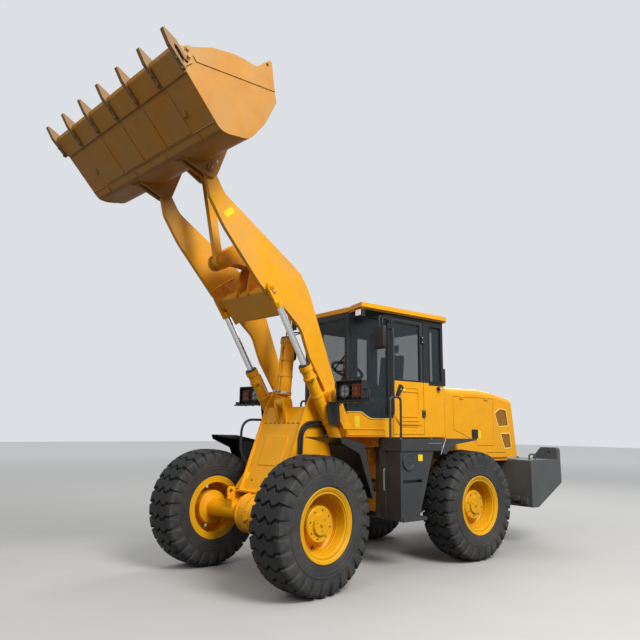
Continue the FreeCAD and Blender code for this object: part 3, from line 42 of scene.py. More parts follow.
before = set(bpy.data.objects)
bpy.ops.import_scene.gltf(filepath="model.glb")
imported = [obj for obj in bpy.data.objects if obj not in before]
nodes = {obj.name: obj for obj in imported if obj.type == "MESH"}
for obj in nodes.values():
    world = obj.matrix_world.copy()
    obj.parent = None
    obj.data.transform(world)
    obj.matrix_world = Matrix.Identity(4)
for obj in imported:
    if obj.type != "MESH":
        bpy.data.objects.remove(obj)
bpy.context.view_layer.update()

rear_low = [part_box(name)[0] for name in ("tyre_rl", "tyre_rr")]
rear_high = [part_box(name)[1] for name in ("tyre_rl", "tyre_rr")]
PIVOT = Vector(((rear_low[0].x + rear_high[0].x) / 2 + AXLE_X, (rear_low[1].y + rear_high[0].y) / 2, 0))
REAR = Matrix.Translation(PIVOT)
FRONT = REAR @ Matrix.Rotation(STEER, 4, "Z")
WHEELS = {
    "fl": (FRONT, 1, 1), "fr": (FRONT, -1, 1), "rl": (REAR, 1, -1), "rr": (REAR, -1, -1),
}


# Materials

def link(tree, source, target):
    tree.links.new(source, target)


def surface(name, colour, rough=0.4, metallic=0.0, spread=0.12, scale=5.0, dust_and_painted_light=0.0, bump=0.0, grain=60.0,
            coat=0.0, edge=0.004, dust_and_light_colour=(0.3, 0.24, 0.16), gloss=0.35, heights=(0.0, 2.6)):
    """A painted or cast surface with uneven colour, uneven gloss, soft edges and dust between two heights. Where the
    higher height is given first, the pale patches thicken upwards and are partly painted light.
    """
    material = bpy.data.materials.new(name)
    material.use_nodes = True
    material.diffuse_color = (*colour, 1)
    tree = material.node_tree
    shader = tree.nodes["Principled BSDF"]
    shader.inputs["Base Color"].default_value = (*colour, 1)
    shader.inputs["Metallic"].default_value = metallic
    shader.inputs["Roughness"].default_value = rough
    shader.inputs["Specular IOR Level"].default_value = gloss
    shader.inputs["Coat Weight"].default_value = coat
    shader.inputs["Coat Roughness"].default_value = 0.2
    place = tree.nodes.new("ShaderNodeTexCoord")
    noise = tree.nodes.new("ShaderNodeTexNoise")
    noise.inputs["Scale"].default_value = scale
    noise.inputs["Detail"].default_value = 6
    noise.inputs["Roughness"].default_value = 0.6
    link(tree, place.outputs["Object"], noise.inputs["Vector"])
    ramp = tree.nodes.new("ShaderNodeValToRGB")
    ramp.color_ramp.elements[0].position = 0.3
    ramp.color_ramp.elements[1].position = 0.72
    ramp.color_ramp.elements[0].color = (*[c * (1 - spread) for c in colour], 1)
    ramp.color_ramp.elements[1].color = (*[min(1, c * (1 + spread)) for c in colour], 1)
    link(tree, noise.outputs["Fac"], ramp.inputs["Fac"])
    result = ramp.outputs["Color"]
    if dust_and_painted_light:
        result = dust_and_light_patches(tree, place, result, dust_and_painted_light, dust_and_light_colour, heights)
    link(tree, result, shader.inputs["Base Color"])
    polish = tree.nodes.new("ShaderNodeMapRange")
    polish.inputs["To Min"].default_value = max(0.05, rough - 0.1)
    polish.inputs["To Max"].default_value = min(1, rough + 0.12)
    link(tree, noise.outputs["Fac"], polish.inputs["Value"])
    link(tree, polish.outputs["Result"], shader.inputs["Roughness"])
    normal = None
    if edge:
        bevel = tree.nodes.new("ShaderNodeBevel")
        bevel.samples = 4
        bevel.inputs["Radius"].default_value = edge
        normal = bevel.outputs["Normal"]
    if bump:
        fine = tree.nodes.new("ShaderNodeTexNoise")
        fine.inputs["Scale"].default_value = grain
        fine.inputs["Detail"].default_value = 4
        link(tree, place.outputs["Object"], fine.inputs["Vector"])
        relief = tree.nodes.new("ShaderNodeBump")
        relief.inputs["Strength"].default_value = bump
        relief.inputs["Distance"].default_value = 0.002
        link(tree, fine.outputs["Fac"], relief.inputs["Height"])
        if normal:
            link(tree, normal, relief.inputs["Normal"])
        normal = relief.outputs["Normal"]
    if normal:
        link(tree, normal, shader.inputs["Normal"])
    return material


def mixed(tree, factor, below, colour):
    mix = tree.nodes.new("ShaderNodeMix")
    mix.data_type = "RGBA"
    link(tree, factor, mix.inputs["Factor"])
    link(tree, below, mix.inputs["A"])
    mix.inputs["B"].default_value = (*colour, 1)
    return mix.outputs["Result"]


def dust_and_light_patches(tree, place, below, amount, colour, heights):
    """Dust in patches, thick at the first height and thin at the second. When the first height is the higher one, as
    on the boom and bucket, the patches thicken upwards and are partly painted light.
    """
    where = tree.nodes.new("ShaderNodeNewGeometry")
    split = tree.nodes.new("ShaderNodeSeparateXYZ")
    link(tree, where.outputs["Position"], split.inputs["Vector"])
    height = tree.nodes.new("ShaderNodeMapRange")
    height.inputs["From Min"].default_value = heights[0]
    height.inputs["From Max"].default_value = heights[1]
    height.inputs["To Min"].default_value = amount
    height.inputs["To Max"].default_value = amount * 0.15
    link(tree, split.outputs["Z"], height.inputs["Value"])
    patches = tree.nodes.new("ShaderNodeTexNoise")
    patches.inputs["Scale"].default_value = 2.4
    patches.inputs["Detail"].default_value = 9
    patches.inputs["Roughness"].default_value = 0.7
    link(tree, place.outputs["Object"], patches.inputs["Vector"])
    shaped = tree.nodes.new("ShaderNodeMapRange")
    shaped.inputs["From Min"].default_value = 0.42
    shaped.inputs["From Max"].default_value = 0.7
    link(tree, patches.outputs["Fac"], shaped.inputs["Value"])
    both = tree.nodes.new("ShaderNodeMath")
    both.operation = "MULTIPLY"
    link(tree, height.outputs["Result"], both.inputs[0])
    link(tree, shaped.outputs["Result"], both.inputs[1])
    return mixed(tree, both.outputs["Value"], below, colour)


def plain(name, colour, rough=0.5, metallic=0.0, glow=0.0, alpha=1.0, transmission=0.0):
    """A small even surface: a lens, a bolt, a clip."""
    material = surface(name, colour, rough, metallic, spread=0.06, scale=30, edge=0.0015 if alpha == 1 else 0)
    shader = material.node_tree.nodes["Principled BSDF"]
    shader.inputs["Alpha"].default_value = alpha
    shader.inputs["Transmission Weight"].default_value = transmission
    if glow:
        shader.inputs["Emission Color"].default_value = (*colour, 1)
        shader.inputs["Emission Strength"].default_value = glow
    return material


YELLOW = (0.80, 0.345, 0.004)
DUST_ON_YELLOW = (0.5, 0.27, 0.03)
SOOT = (0.13, 0.115, 0.1)
MATERIALS = {
    "yellow_paint": surface("yellow_paint", YELLOW, 0.36, spread=0.06, dust_and_painted_light=0.15, bump=0.04, coat=0.06, edge=0.005,
                            dust_and_light_colour=DUST_ON_YELLOW, gloss=0.22),
    # boom_paint: the dull tan patches thicken towards the top (heights run high to low). They are partly dust and
    # partly painted light: the duller, paler look of the upper boom.
    "boom_paint": surface("boom_paint", (0.76, 0.33, 0.006), 0.42, spread=0.06, dust_and_painted_light=0.9, bump=0.04, edge=0.005,
                          dust_and_light_colour=(0.50, 0.29, 0.12), gloss=0.25, heights=(4.3, 2.3)),
    "rim_paint": surface("rim_paint", (0.72, 0.35, 0.004), 0.4, spread=0.08, dust_and_painted_light=0.25, bump=0.05, edge=0.004,
                         dust_and_light_colour=DUST_ON_YELLOW, gloss=0.22),
    # bucket_paint: the tan patches thicken towards the top. They are partly dust and partly painted glare: the
    # bleached look of the raised bucket in the light.
    "bucket_paint": surface("bucket_paint", (0.46, 0.20, 0.025), 0.5, spread=0.1, dust_and_painted_light=0.9, bump=0.08, edge=0.005,
                            dust_and_light_colour=(0.42, 0.25, 0.09), gloss=0.25, heights=(5.6, 2.0)),
    # pale_rim: a pale cream, lighter than the yellow paint. On the cab's slanted panel it draws a painted highlight
    # along the rounded edge.
    "pale_rim": surface("pale_rim", (0.9, 0.6, 0.14), 0.35, spread=0.04, edge=0.002),
    "bare_plate": surface("bare_plate", (0.82, 0.60, 0.02), 0.4, spread=0.04, dust_and_painted_light=0.1, edge=0, gloss=0.2),
    "dark_paint": surface("dark_paint", (0.032, 0.034, 0.036), 0.42, dust_and_painted_light=0.15, bump=0.05, edge=0.004,
                          dust_and_light_colour=SOOT),
    "fender_paint": surface("fender_paint", (0.010, 0.0105, 0.011), 0.45, dust_and_painted_light=0.1, bump=0.05, edge=0.004,
                            dust_and_light_colour=SOOT),
    "weight_paint": surface("weight_paint", (0.072, 0.078, 0.079), 0.44, dust_and_painted_light=0.15, bump=0.2, grain=40, edge=0.008,
                            dust_and_light_colour=SOOT),
    "engine_iron": surface("engine_iron", (0.022, 0.022, 0.024), 0.6, dust_and_painted_light=0.4, bump=0.3, edge=0.004),
    "tyre": surface("tyre", (0.012, 0.012, 0.0125), 0.75, spread=0.25, scale=9, dust_and_painted_light=0.35, bump=0.4, grain=130,
                    edge=0.003, dust_and_light_colour=(0.075, 0.065, 0.056)),
    "tyre_side": surface("tyre_side", (0.027, 0.0265, 0.0265), 0.62, spread=0.25, scale=7, dust_and_painted_light=0.6, bump=0.2,
                         grain=90, edge=0.002, dust_and_light_colour=(0.10, 0.093, 0.086)),
    "chrome_rod": surface("chrome_rod", (0.62, 0.63, 0.64), 0.14, 1.0, spread=0.05, edge=0.002, gloss=0.5),
    "mirror": surface("mirror", (0.7, 0.72, 0.74), 0.05, 1.0, spread=0.02, edge=0, gloss=0.5),
    "zinc": surface("zinc", (0.42, 0.42, 0.41), 0.35, 0.8, spread=0.15, scale=20, dust_and_painted_light=0.3, edge=0.001),
    "mesh": surface("mesh", (0.11, 0.045, 0.012), 0.6, bump=0.4, grain=220, edge=0),
    "weave": surface("weave", (0.42, 0.19, 0.03), 0.5, spread=0.2, scale=30, edge=0),
    "seat_fabric": surface("seat_fabric", (0.018, 0.018, 0.02), 0.85, bump=0.6, grain=400, edge=0),
    "trim": surface("trim", (0.028, 0.029, 0.031), 0.6, bump=0.3, grain=260, edge=0.003),
    "black_plastic": surface("black_plastic", (0.013, 0.013, 0.014), 0.5, bump=0.15, grain=300, edge=0.003),
    "rubber": surface("rubber", (0.011, 0.011, 0.012), 0.68, bump=0.1, grain=200, edge=0.001),
    "shadow": surface("shadow", (0.035, 0.018, 0.006), 0.8, edge=0),
    "worn_steel": surface("worn_steel", (0.22, 0.11, 0.03), 0.5, 0.1, spread=0.1, dust_and_painted_light=0.4, edge=0.003,
                          dust_and_light_colour=(0.16, 0.1, 0.05), heights=(5.6, 2.0)),
    "glass": plain("glass", (0.035, 0.05, 0.055), 0.03, alpha=0.36),
    "clear_lens": plain("clear_lens", (0.4, 0.42, 0.43), 0.06, alpha=0.4),
    "white_lens": plain("white_lens", (0.8, 0.81, 0.8), 0.12, glow=0.15),
    "orange_lens": plain("orange_lens", (0.32, 0.06, 0.006), 0.2),
    "red_lens": plain("red_lens", (0.42, 0.012, 0.01), 0.15),
    "bowl": plain("bowl", (0.5, 0.51, 0.5), 0.3, 0.4),
}

SINGLE = {
    "front_fenders": "fender_paint", "headlamps": "black_plastic", "bucket_teeth": "worn_steel",
    "power_train": "engine_iron", "counterweight": "weight_paint", "tanks": "dark_paint", "deck": "dark_paint",
    "cab_frame": "fender_paint", "cab_glass": "glass", "door_left_glass": "glass", "door_right_glass": "glass",
    "seat": "seat_fabric", "steering_column": "trim", "mirrors": "black_plastic", "roof_lamps": "black_plastic",
    "hood_grilles": "mesh", "tilt_rod": "chrome_rod", "handrails": "dark_paint", "hoses": "rubber",
    "bucket": "bucket_paint", "boom": "boom_paint", "rocker": "boom_paint", "bucket_link": "boom_paint",
}
for name, node in nodes.items():
    slot = SINGLE.get(name)
    if name.startswith("tyre_"):
        slot = "tyre"
    if name.startswith("rim_"):
        slot = "rim_paint"
    if name.startswith(("lift_rod", "steer_rod")):
        slot = "chrome_rod"
    node.data.materials.clear()
    node.data.materials.append(MATERIALS[slot or "yellow_paint"])


# Mesh building

class Build:
    """Collects primitives in one mesh, which then becomes a piece that rides on a body."""

    def __init__(self, place):
        self.mesh = bmesh.new()
        self.place = place

    def verts(self, points, at=Matrix.Identity(4)):
        return [self.mesh.verts.new(at @ Vector(p)) for p in points]

    def face(self, corners):
        try:
            self.mesh.faces.new(corners)
        except ValueError:
            pass

    def skin(self, rings, close_ends=True, ring_closed=True):
        """Faces between successive rings of points."""
        made = [self.verts(ring) for ring in rings]
        for low, high in zip(made, made[1:]):
            count = len(low)
            for i in range(count if ring_closed else count - 1):
                j = (i + 1) % count
                self.face([low[i], low[j], high[j], high[i]])
        if close_ends:
            self.face(list(reversed(made[0])))
            self.face(made[-1])
        return made

    def box(self, low, high, at=Matrix.Identity(4)):
        (x0, y0, z0), (x1, y1, z1) = low, high
        rings = [[at @ Vector(p) for p in ((x0, y0, z), (x1, y0, z), (x1, y1, z), (x0, y1, z))] for z in (z0, z1)]
        self.skin(rings)

    def rod(self, start, end, radius, sides=16, end_radius=None):
        start, end = Vector(start), Vector(end)
        way = (end - start).normalized()
        across = way.orthogonal().normalized()
        up = way.cross(across)
        rings = []
        for centre, size in ((start, radius), (end, radius if end_radius is None else end_radius)):
            rings.append([centre + (across * math.cos(a) + up * math.sin(a)) * size
                          for a in (2 * math.pi * i / sides for i in range(sides))])
        self.skin(rings)

    def tube(self, points, radius, sides=12, bend=0.04, steps=5):
        """A tube through points with rounded corners."""
        path = rounded([Vector(p) for p in points], bend, steps)
        self.sweep(path, radius, sides)

    def sweep(self, path, radius, sides=12):
        way = (path[1] - path[0]).normalized()
        across = way.orthogonal().normalized()
        rings = []
        for i, point in enumerate(path):
            ahead = path[min(i + 1, len(path) - 1)] - path[max(i - 1, 0)]
            ahead.normalize()
            across = (across - ahead * across.dot(ahead)).normalized()
            up = ahead.cross(across)
            rings.append([point + (across * math.cos(a) + up * math.sin(a)) * radius
                          for a in (2 * math.pi * k / sides for k in range(sides))])
        self.skin(rings)

    def lathe(self, profile, centre, axis, sides=32, closed=False):
        """A turned piece from (along the axis, radius) points."""
        axis = Vector(axis).normalized()
        across = axis.orthogonal().normalized()
        up = axis.cross(across)
        centre = Vector(centre)
        rings = []
        for k in range(sides):
            a = 2 * math.pi * k / sides
            out = across * math.cos(a) + up * math.sin(a)
            rings.append([centre + axis * h + out * r for h, r in profile])
        made = [self.verts(ring) for ring in rings]
        count = len(profile)
        for k in range(sides):
            low, high = made[k], made[(k + 1) % sides]
            for i in range(count if closed else count - 1):
                j = (i + 1) % count
                self.face([low[i], high[i], high[j], low[j]])

    def bolt(self, at, axis, size=0.012, washer=True):
        """A hexagon head on a washer."""
        at, axis = Vector(at), Vector(axis).normalized()
        if washer:
            self.rod(at, at + axis * size * 0.3, size * 1.35, 14)
        self.rod(at, at + axis * size * 0.95, size, 6, size * 0.93)

    def prism(self, outline, low, high, at=Matrix.Identity(4), plane="xz"):
        """A plate with the given outline across its plane."""
        def lift(a, b, c):
            return at @ Vector({"xz": (a, c, b), "xy": (a, b, c), "yz": (c, a, b)}[plane])
        self.skin([[lift(a, b, low) for a, b in outline], [lift(a, b, high) for a, b in outline]])

    def band(self, outer, inner, low, high, plane="xz"):
        """A flat frame between two outlines of as many points."""
        def lift(a, b, c):
            return Vector({"xz": (a, c, b), "xy": (a, b, c), "yz": (c, a, b)}[plane])
        rings = []
        for (a, b), (c, d) in zip(outer, inner):
            rings.append([lift(a, b, low), lift(a, b, high), lift(c, d, high), lift(c, d, low)])
        self.skin(rings + rings[:1], close_ends=False)

    def piece(self, name, body, material, smooth=35):
        bmesh.ops.remove_doubles(self.mesh, verts=self.mesh.verts, dist=1e-6)
        bmesh.ops.recalc_face_normals(self.mesh, faces=self.mesh.faces)
        data = bpy.data.meshes.new(name)
        self.mesh.to_mesh(data)
        self.mesh.free()
        data.transform(self.place)
        if smooth:
            data.polygons.foreach_set("use_smooth", [True] * len(data.polygons))
            data.set_sharp_from_angle(angle=math.radians(smooth))
        data.materials.append(MATERIALS[material])
        made = bpy.data.objects.new(name, data)
        bpy.context.scene.collection.objects.link(made)
        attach(made, body)
        return made


def rounded(points, bend, steps):
    """A path whose corners are replaced by arcs."""
    path = [points[0]]
    for before, here, after in zip(points, points[1:], points[2:]):
        back, ahead = (before - here), (after - here)
        reach = min(bend, back.length * 0.49, ahead.length * 0.49)
        start, end = here + back.normalized() * reach, here + ahead.normalized() * reach
        for k in range(steps + 1):
            t = k / steps
            path.append(start * (1 - t) ** 2 + here * 2 * t * (1 - t) + end * t ** 2)
    path.append(points[-1])
    return path


# Tyres: a carcass with a stepped sidewall, and zigzag lugs across the whole tread

LUGS = 28
TREAD = [(0.2135, 0.5), (0.218, 0.545), (0.2165, 0.59), (0.2075, 0.6265), (0.193, 0.648), (0.165, 0.6575),
         (0.125, 0.6635), (0.085, 0.6662), (0.042, 0.667), (0.0, 0.667)]
DEPTHS = [0.001, 0.012, 0.02, 0.027, 0.03, 0.031, 0.031, 0.031, 0.031, 0.031]
SIDEWALL_RADIUS = 0.612
ZIGZAG = [0.0, 0.0, 0.01, 0.03, 0.05, 0.1, -0.16, -0.14, 0.2, 0.0]


def tyre_mesh(name, side):
    build = Build(Matrix.Identity(4))
    carcass = [(0.186, 0.3005), (0.186, 0.361), (0.2, 0.3615), (0.2, 0.372), (0.207, 0.376), (0.2095, 0.39), (0.2095, 0.43), (0.2125, 0.433),
               (0.2135, 0.47), (0.2165, 0.4735), (0.2165, 0.486), (0.212, 0.489), (0.2125, 0.51), (0.206, 0.545),
               (0.199, 0.585), (0.187, 0.612), (0.165, 0.6262), (0.125, 0.6325), (0.06, 0.636)]
    profile = carcass + [(-y, r) for y, r in reversed(carcass)]
    build.lathe(profile, (0, 0, 0), (0, 1, 0), 120, closed=True)
    pitch = 2 * math.pi / LUGS
    spine = [(y, r, d, z) for (y, r), d, z in zip(TREAD, DEPTHS, ZIGZAG)]
    spine += [(-y, r, d, -z) for y, r, d, z in reversed(spine[:-1])]
    for index in range(LUGS):
        rings = []
        for y, r, depth, zig in spine:
            middle = (index + zig) * pitch
            shoulder = min(1.0, max(0.0, (0.667 - r) / 0.15))
            wide = (0.385 - 0.1 * shoulder) * pitch
            inward = 1 if abs(y) < 0.2 else 0
            ring = []
            for share, sink in ((-1.1, 1), (-1, 0.16), (-0.93, 0), (0.93, 0), (1, 0.16), (1.1, 1)):
                angle = middle + share * wide
                out = r - depth * sink * (1 if inward else 0.25)
                across = y - math.copysign(depth * sink * (0.25 if inward else 1), y) if y else 0
                ring.append((out * math.cos(angle), across, out * math.sin(angle)))
            rings.append(ring)
        build.skin(rings)
    place, turn = WHEELS[name][0], WHEELS[name][2]
    build.place = place @ Matrix.Translation((turn * AXLE_X, side * WHEEL_Y, WHEEL_Z)) \
        @ Matrix.Rotation(0.1 * (1 + side), 4, "Y")
    made = build.piece("tread_" + name, "wheel_" + name, "tyre", smooth=32)
    made.data.materials.append(MATERIALS["tyre_side"])
    centre = build.place.translation
    across = build.place.to_3x3() @ Vector((0, 1, 0))
    for polygon in made.data.polygons:
        way = polygon.center - centre
        if (way - across * way.dot(across)).length < SIDEWALL_RADIUS:
            polygon.material_index = 1
    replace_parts(made, "tyre_" + name)


for name, (_, side, _) in WHEELS.items():
    tyre_mesh(name, side)


# Outlines and small fittings

def capsule(a, b, radius, end_radius=None, steps=8):
    """The outline round two points of a drawing plane."""
    end_radius = end_radius or radius
    turn = math.atan2(b[1] - a[1], b[0] - a[0])
    points = []
    for centre, size, start in ((b, end_radius, turn - math.pi / 2), (a, radius, turn + math.pi / 2)):
        for k in range(steps + 1):
            angle = start + math.pi * k / steps
            points.append((centre[0] + size * math.cos(angle), centre[1] + size * math.sin(angle)))
    return points


def circle(centre, radius, count=24):
    angles = [2 * math.pi * k / count for k in range(count)]
    return [(centre[0] + radius * math.cos(a), centre[1] + radius * math.sin(a)) for a in angles]


def rectangle(low, high, radius=0.0, steps=4):
    """A rectangle with round corners, in a drawing plane."""
    (a0, b0), (a1, b1) = low, high
    if not radius:
        return [(a0, b0), (a1, b0), (a1, b1), (a0, b1)]
    points = []
    for a, b, start in ((a1 - radius, b1 - radius, 0), (a0 + radius, b1 - radius, 1),
                        (a0 + radius, b0 + radius, 2), (a1 - radius, b0 + radius, 3)):
        for k in range(steps + 1):
            angle = math.pi / 2 * (start + k / steps)
            points.append((a + radius * math.cos(angle), b + radius * math.sin(angle)))
    return points


def inset(points, distance):
    """A convex outline drawn in by a distance, on whichever side its middle is."""
    middle = sum((Vector(p) for p in points), Vector((0, 0))) / len(points)
    lines = []
    for a, b in zip(points, points[1:] + points[:1]):
        a, b = Vector(a), Vector(b)
        normal = Vector((a.y - b.y, b.x - a.x)).normalized()
        if normal.dot(middle - a) < 0:
            normal = -normal
        lines.append((a + normal * distance, b - a))
    result = []
    for (p, u), (q, v) in zip([lines[-1]] + lines[:-1], lines):
        reach = ((q.x - p.x) * v.y - (q.y - p.y) * v.x) / (u.x * v.y - u.y * v.x)
        result.append((p.x + u.x * reach, p.y + u.y * reach))
    return result


def keeper(build, bright, pin, bolt_at, y, side, cap=0.03):
    """The strap that locks a pin's end, the pin's raised end, its bolt and its grease nipple."""
    low, high = sorted((side * y, side * (y + 0.008)))
    build.prism(capsule(pin, bolt_at, cap, 0.022), low, high)
    build.lathe([(side * 0.007, cap * 0.8), (side * 0.016, cap * 0.76), (side * 0.016, 0.0001)],
                (pin[0], side * y, pin[1]), (0, 1, 0), 28)
    bright.bolt((bolt_at[0], side * (y + 0.008), bolt_at[1]), (0, side, 0), 0.012)
    bright.rod((pin[0], side * (y + 0.015), pin[1]), (pin[0], side * (y + 0.027), pin[1]), 0.008, 8)


def two_tone(name, place, second, chosen):
    """Gives the chosen faces of a carried-over node a second finish."""
    data = nodes[name].data
    data.materials.append(MATERIALS[second])
    back = place.inverted()
    turn = back.to_3x3()
    for polygon in data.polygons:
        if chosen(back @ polygon.center, turn @ polygon.normal):
            polygon.material_index = len(data.materials) - 1


# Linkage: pins, straps, bolts and bare plates

BOOM_PIVOT = (0.680, 1.950)
BUCKET_PIN = (2.471, 4.197)
LIFT_ROD_PIN = (1.620, 3.106)
LIFT_BASE_PIN = (0.470, 1.310)
ROCKER_PIVOT = (1.380, 3.560)
ROCKER_LOW_PIN = (1.985, 3.395)
ROCKER_TOP_PIN = (0.850, 3.420)
TILT_BASE_PIN = (0.985, 1.887)
LINK_PIN = (2.195, 4.330)
BUCKET_HEEL = (2.856, 4.194)
BUCKET_ANGLE = math.radians(46.5)
ARM_OUTER = 0.455
LIFT_PLANE = 0.478


def near(pin, x, z):
    return pin[0] + x, pin[1] + z


def in_bucket(u, n):
    """The side-view point that lies u from the heel to the lip and n above the floor."""
    cos, sin = math.cos(BUCKET_ANGLE), math.sin(BUCKET_ANGLE)
    return BUCKET_HEEL[0] + u * cos - n * sin, BUCKET_HEEL[1] + u * sin + n * cos


def boom_fittings():
    build = Build(FRONT)
    bright = Build(FRONT)
    for side in (1, -1):
        keeper(build, bright, ROCKER_PIVOT, near(ROCKER_PIVOT, 0.02, -0.1), 0.108, side, 0.036)
    for start, end in (((1.745, 3.16), (1.5, 3.335)), ((1.62, 3.215), (1.41, 3.145))):
        build.tube([(start[0], -0.4, start[1]), (start[0] + 0.01, -0.36, start[1] + 0.03),
                    (end[0] + 0.01, -0.36, end[1] + 0.03), (end[0], -0.4, end[1])], 0.011, 10, 0.02)
    build.piece("boom_fittings", "boom", "boom_paint")
    bright.piece("boom_bolts", "boom", "zinc")

    plate = Build(FRONT)
    for side in (1, -1):
        low, high = sorted((side * ARM_OUTER, side * (ARM_OUTER + 0.002)))
        plate.prism([(2.268, 3.787), (2.163, 3.877), (2.128, 3.825), (2.227, 3.733)], low, high)
    plate.piece("boom_plates", "boom", "bare_plate")

    welds = Build(FRONT)
    for side in (1, -1):
        for y in (0.083, 0.108):
            welds.tube([(1.655, side * y, 3.078), (1.52, side * y, 3.09), (1.405, side * y, 3.1)], 0.007, 8)
        inner = side * (ARM_OUTER - 0.045)
        corners = [(1.640, 3.085), (1.405, 2.820), (1.250, 2.940), (1.470, 3.215), (1.640, 3.085)]
        for (x0, z0), (x1, z1) in zip(corners, corners[1:]):
            welds.rod((x0, inner, z0), (x1, inner, z1), 0.008, 8)
    welds.piece("boom_welds", "boom", "boom_paint", smooth=60)


def rocker_fittings():
    build = Build(FRONT)
    bright = Build(FRONT)
    for side in (1, -1):
        keeper(build, bright, ROCKER_LOW_PIN, (1.924, 3.439), 0.09, side, 0.045)
        keeper(build, bright, ROCKER_TOP_PIN, near(ROCKER_TOP_PIN, 0.085, 0.02), 0.09, side, 0.04)
    build.piece("rocker_fittings", "rocker", "boom_paint")
    bright.piece("rocker_bolts", "rocker", "zinc")


def bucket_fittings():
    build = Build(FRONT)
    bright = Build(FRONT)
    bolt_at = in_bucket(-0.247, 0.383)
    for side in (1, -1):
        keeper(build, bright, BUCKET_PIN, bolt_at, 0.495, side, 0.036)
        keeper(build, bright, LINK_PIN, near(LINK_PIN, -0.012, 0.02), 0.085, side, 0.035)
        outer = 1.211
        x, z = in_bucket(0.719, 0.131)
        build.bolt((x, side * outer, z), (0, side, 0), 0.02)
        x, z = in_bucket(0.66, 0.1)
        build.bolt((x, side * outer, z), (0, side, 0), 0.02)
    build.piece("bucket_fittings", "bucket", "bucket_paint")
    bright.piece("bucket_bolts", "bucket", "zinc")

    marks = Build(FRONT)
    for side in (1, -1):
        low, high = sorted((side * 1.2105, side * 1.2118))
        marks.prism(capsule(in_bucket(0.768, 0.05), in_bucket(0.785, 0.056), 0.009), low, high)
        marks.prism(circle(in_bucket(0.30, 0.98), 0.016), *sorted((side * 1.195, side * 1.2042)))
    marks.piece("bucket_holes", "bucket", "shadow")

    seams = Build(FRONT)
    for u in (0.556, 0.1):
        x0, z0 = in_bucket(u, -0.001)
        seams.rod((x0, -1.19, z0), (x0, 1.19, z0), 0.006, 8)
    for side in (1, -1):
        route = [in_bucket(u, n) for u, n in ((0.6, 0.005), (0.02, 0.005), (-0.05, 0.06), (-0.12, 0.165))]
        seams.tube([(x, side * 1.197, z) for x, z in route], 0.007, 8, 0.05)
        for y in (0.368, 0.407, 0.458, 0.497):
            foot, head = in_bucket(0.02, 0.0), in_bucket(-0.05, 0.055)
            seams.rod((foot[0], side * y, foot[1]), (head[0], side * y, head[1]), 0.008, 8)
    seams.piece("bucket_welds", "bucket", "bucket_paint", smooth=60)

    stiff = Build(FRONT)
    for u in (0.02, 0.26):
        for index in range(4):
            y = -0.9 + 0.6 * index
            if u > 0.1 and index in (1, 2):
                continue
            x0, z0 = in_bucket(u, -0.001)
            x1, z1 = in_bucket(u + 0.05, -0.001)
            low, lift = in_bucket(u, -0.012), in_bucket(u + 0.05, -0.012)
            stiff.prism([(x0, z0), (x1, z1), lift, low], y - 0.03, y + 0.03)
    stiff.piece("bucket_blocks", "bucket", "bucket_paint")

    teeth = Build(FRONT)
    reach = 1.2178
    for index in range(7):
        y = -reach + 2 * reach * index / 6
        for u in (0.6, 0.69):
            foot, head = in_bucket(u, -0.033), in_bucket(u, -0.05)
            way = Vector((head[0] - foot[0], 0, head[1] - foot[1]))
            teeth.bolt((foot[0], y, foot[1]), way, 0.014)
            over = in_bucket(u + 0.03, 0.05)
            teeth.bolt((over[0], y, over[1]), -way, 0.012, washer=False)
    teeth.piece("tooth_bolts", "bucket", "worn_steel")


# Cylinders: glands, pipes and clamps

def barrel_frame(base, eye, y):
    """A place whose Z runs along a cylinder, X lies in the side view and Y points to the left."""
    way = Vector((eye[0] - base[0], 0, eye[1] - base[1])).normalized()
    left = Vector((0, 1, 0))
    side = left.cross(way)
    turn = Matrix((side, left, way)).transposed().to_4x4()
    return FRONT @ Matrix.Translation((base[0], y, base[1])) @ turn


def ring(build, along, radius, inner, length):
    build.lathe([(0, inner), (length, inner), (length, radius - 0.003), (length - 0.003, radius),
                 (0.003, radius), (0, radius - 0.003)], (0, 0, along), (0, 0, 1), 36, closed=True)


def barrel_fittings(name, body, place, barrel, head, pipe_side, front):
    """The gland's black wiper ring and the bolts, pipe, clamps and ports along a barrel."""
    black = Build(place)
    ring(black, head, barrel + 0.004, barrel * 0.62, 0.016)
    black.piece(name + "_wiper", body, "black_plastic")

    build = Build(place)
    gland = barrel + 0.010
    for k in range(8):
        a = 2 * math.pi * (k + 0.5) / 8
        spot = (gland * math.cos(a) * 0.86, gland * math.sin(a) * 0.86, head)
        build.bolt(spot, (0, 0, 1), 0.007, washer=False)
    x = front * (barrel + 0.02)
    y = pipe_side * 0.03
    low, high = 0.12, head - 0.1
    build.tube([(front * barrel * 0.9, y, low), (x, y, low), (x, y, high), (front * barrel * 0.9, y, high)],
               0.010, 10, 0.03)
    for along in (low, high):
        build.rod((front * barrel * 0.85, y, along), (front * (barrel + 0.012), y, along), 0.019, 6)
    for share in (0.33, 0.68):
        along = low + (high - low) * share
        ring(build, along, barrel + 0.005, barrel - 0.001, 0.03)
        build.box((min(x, front * barrel), y - 0.02, along), (max(x, front * barrel), y + 0.02, along + 0.03))
        build.bolt((front * (barrel + 0.03), y, along + 0.015), (front, 0, 0), 0.008)
    build.piece(name + "_pipe", body, "yellow_paint")


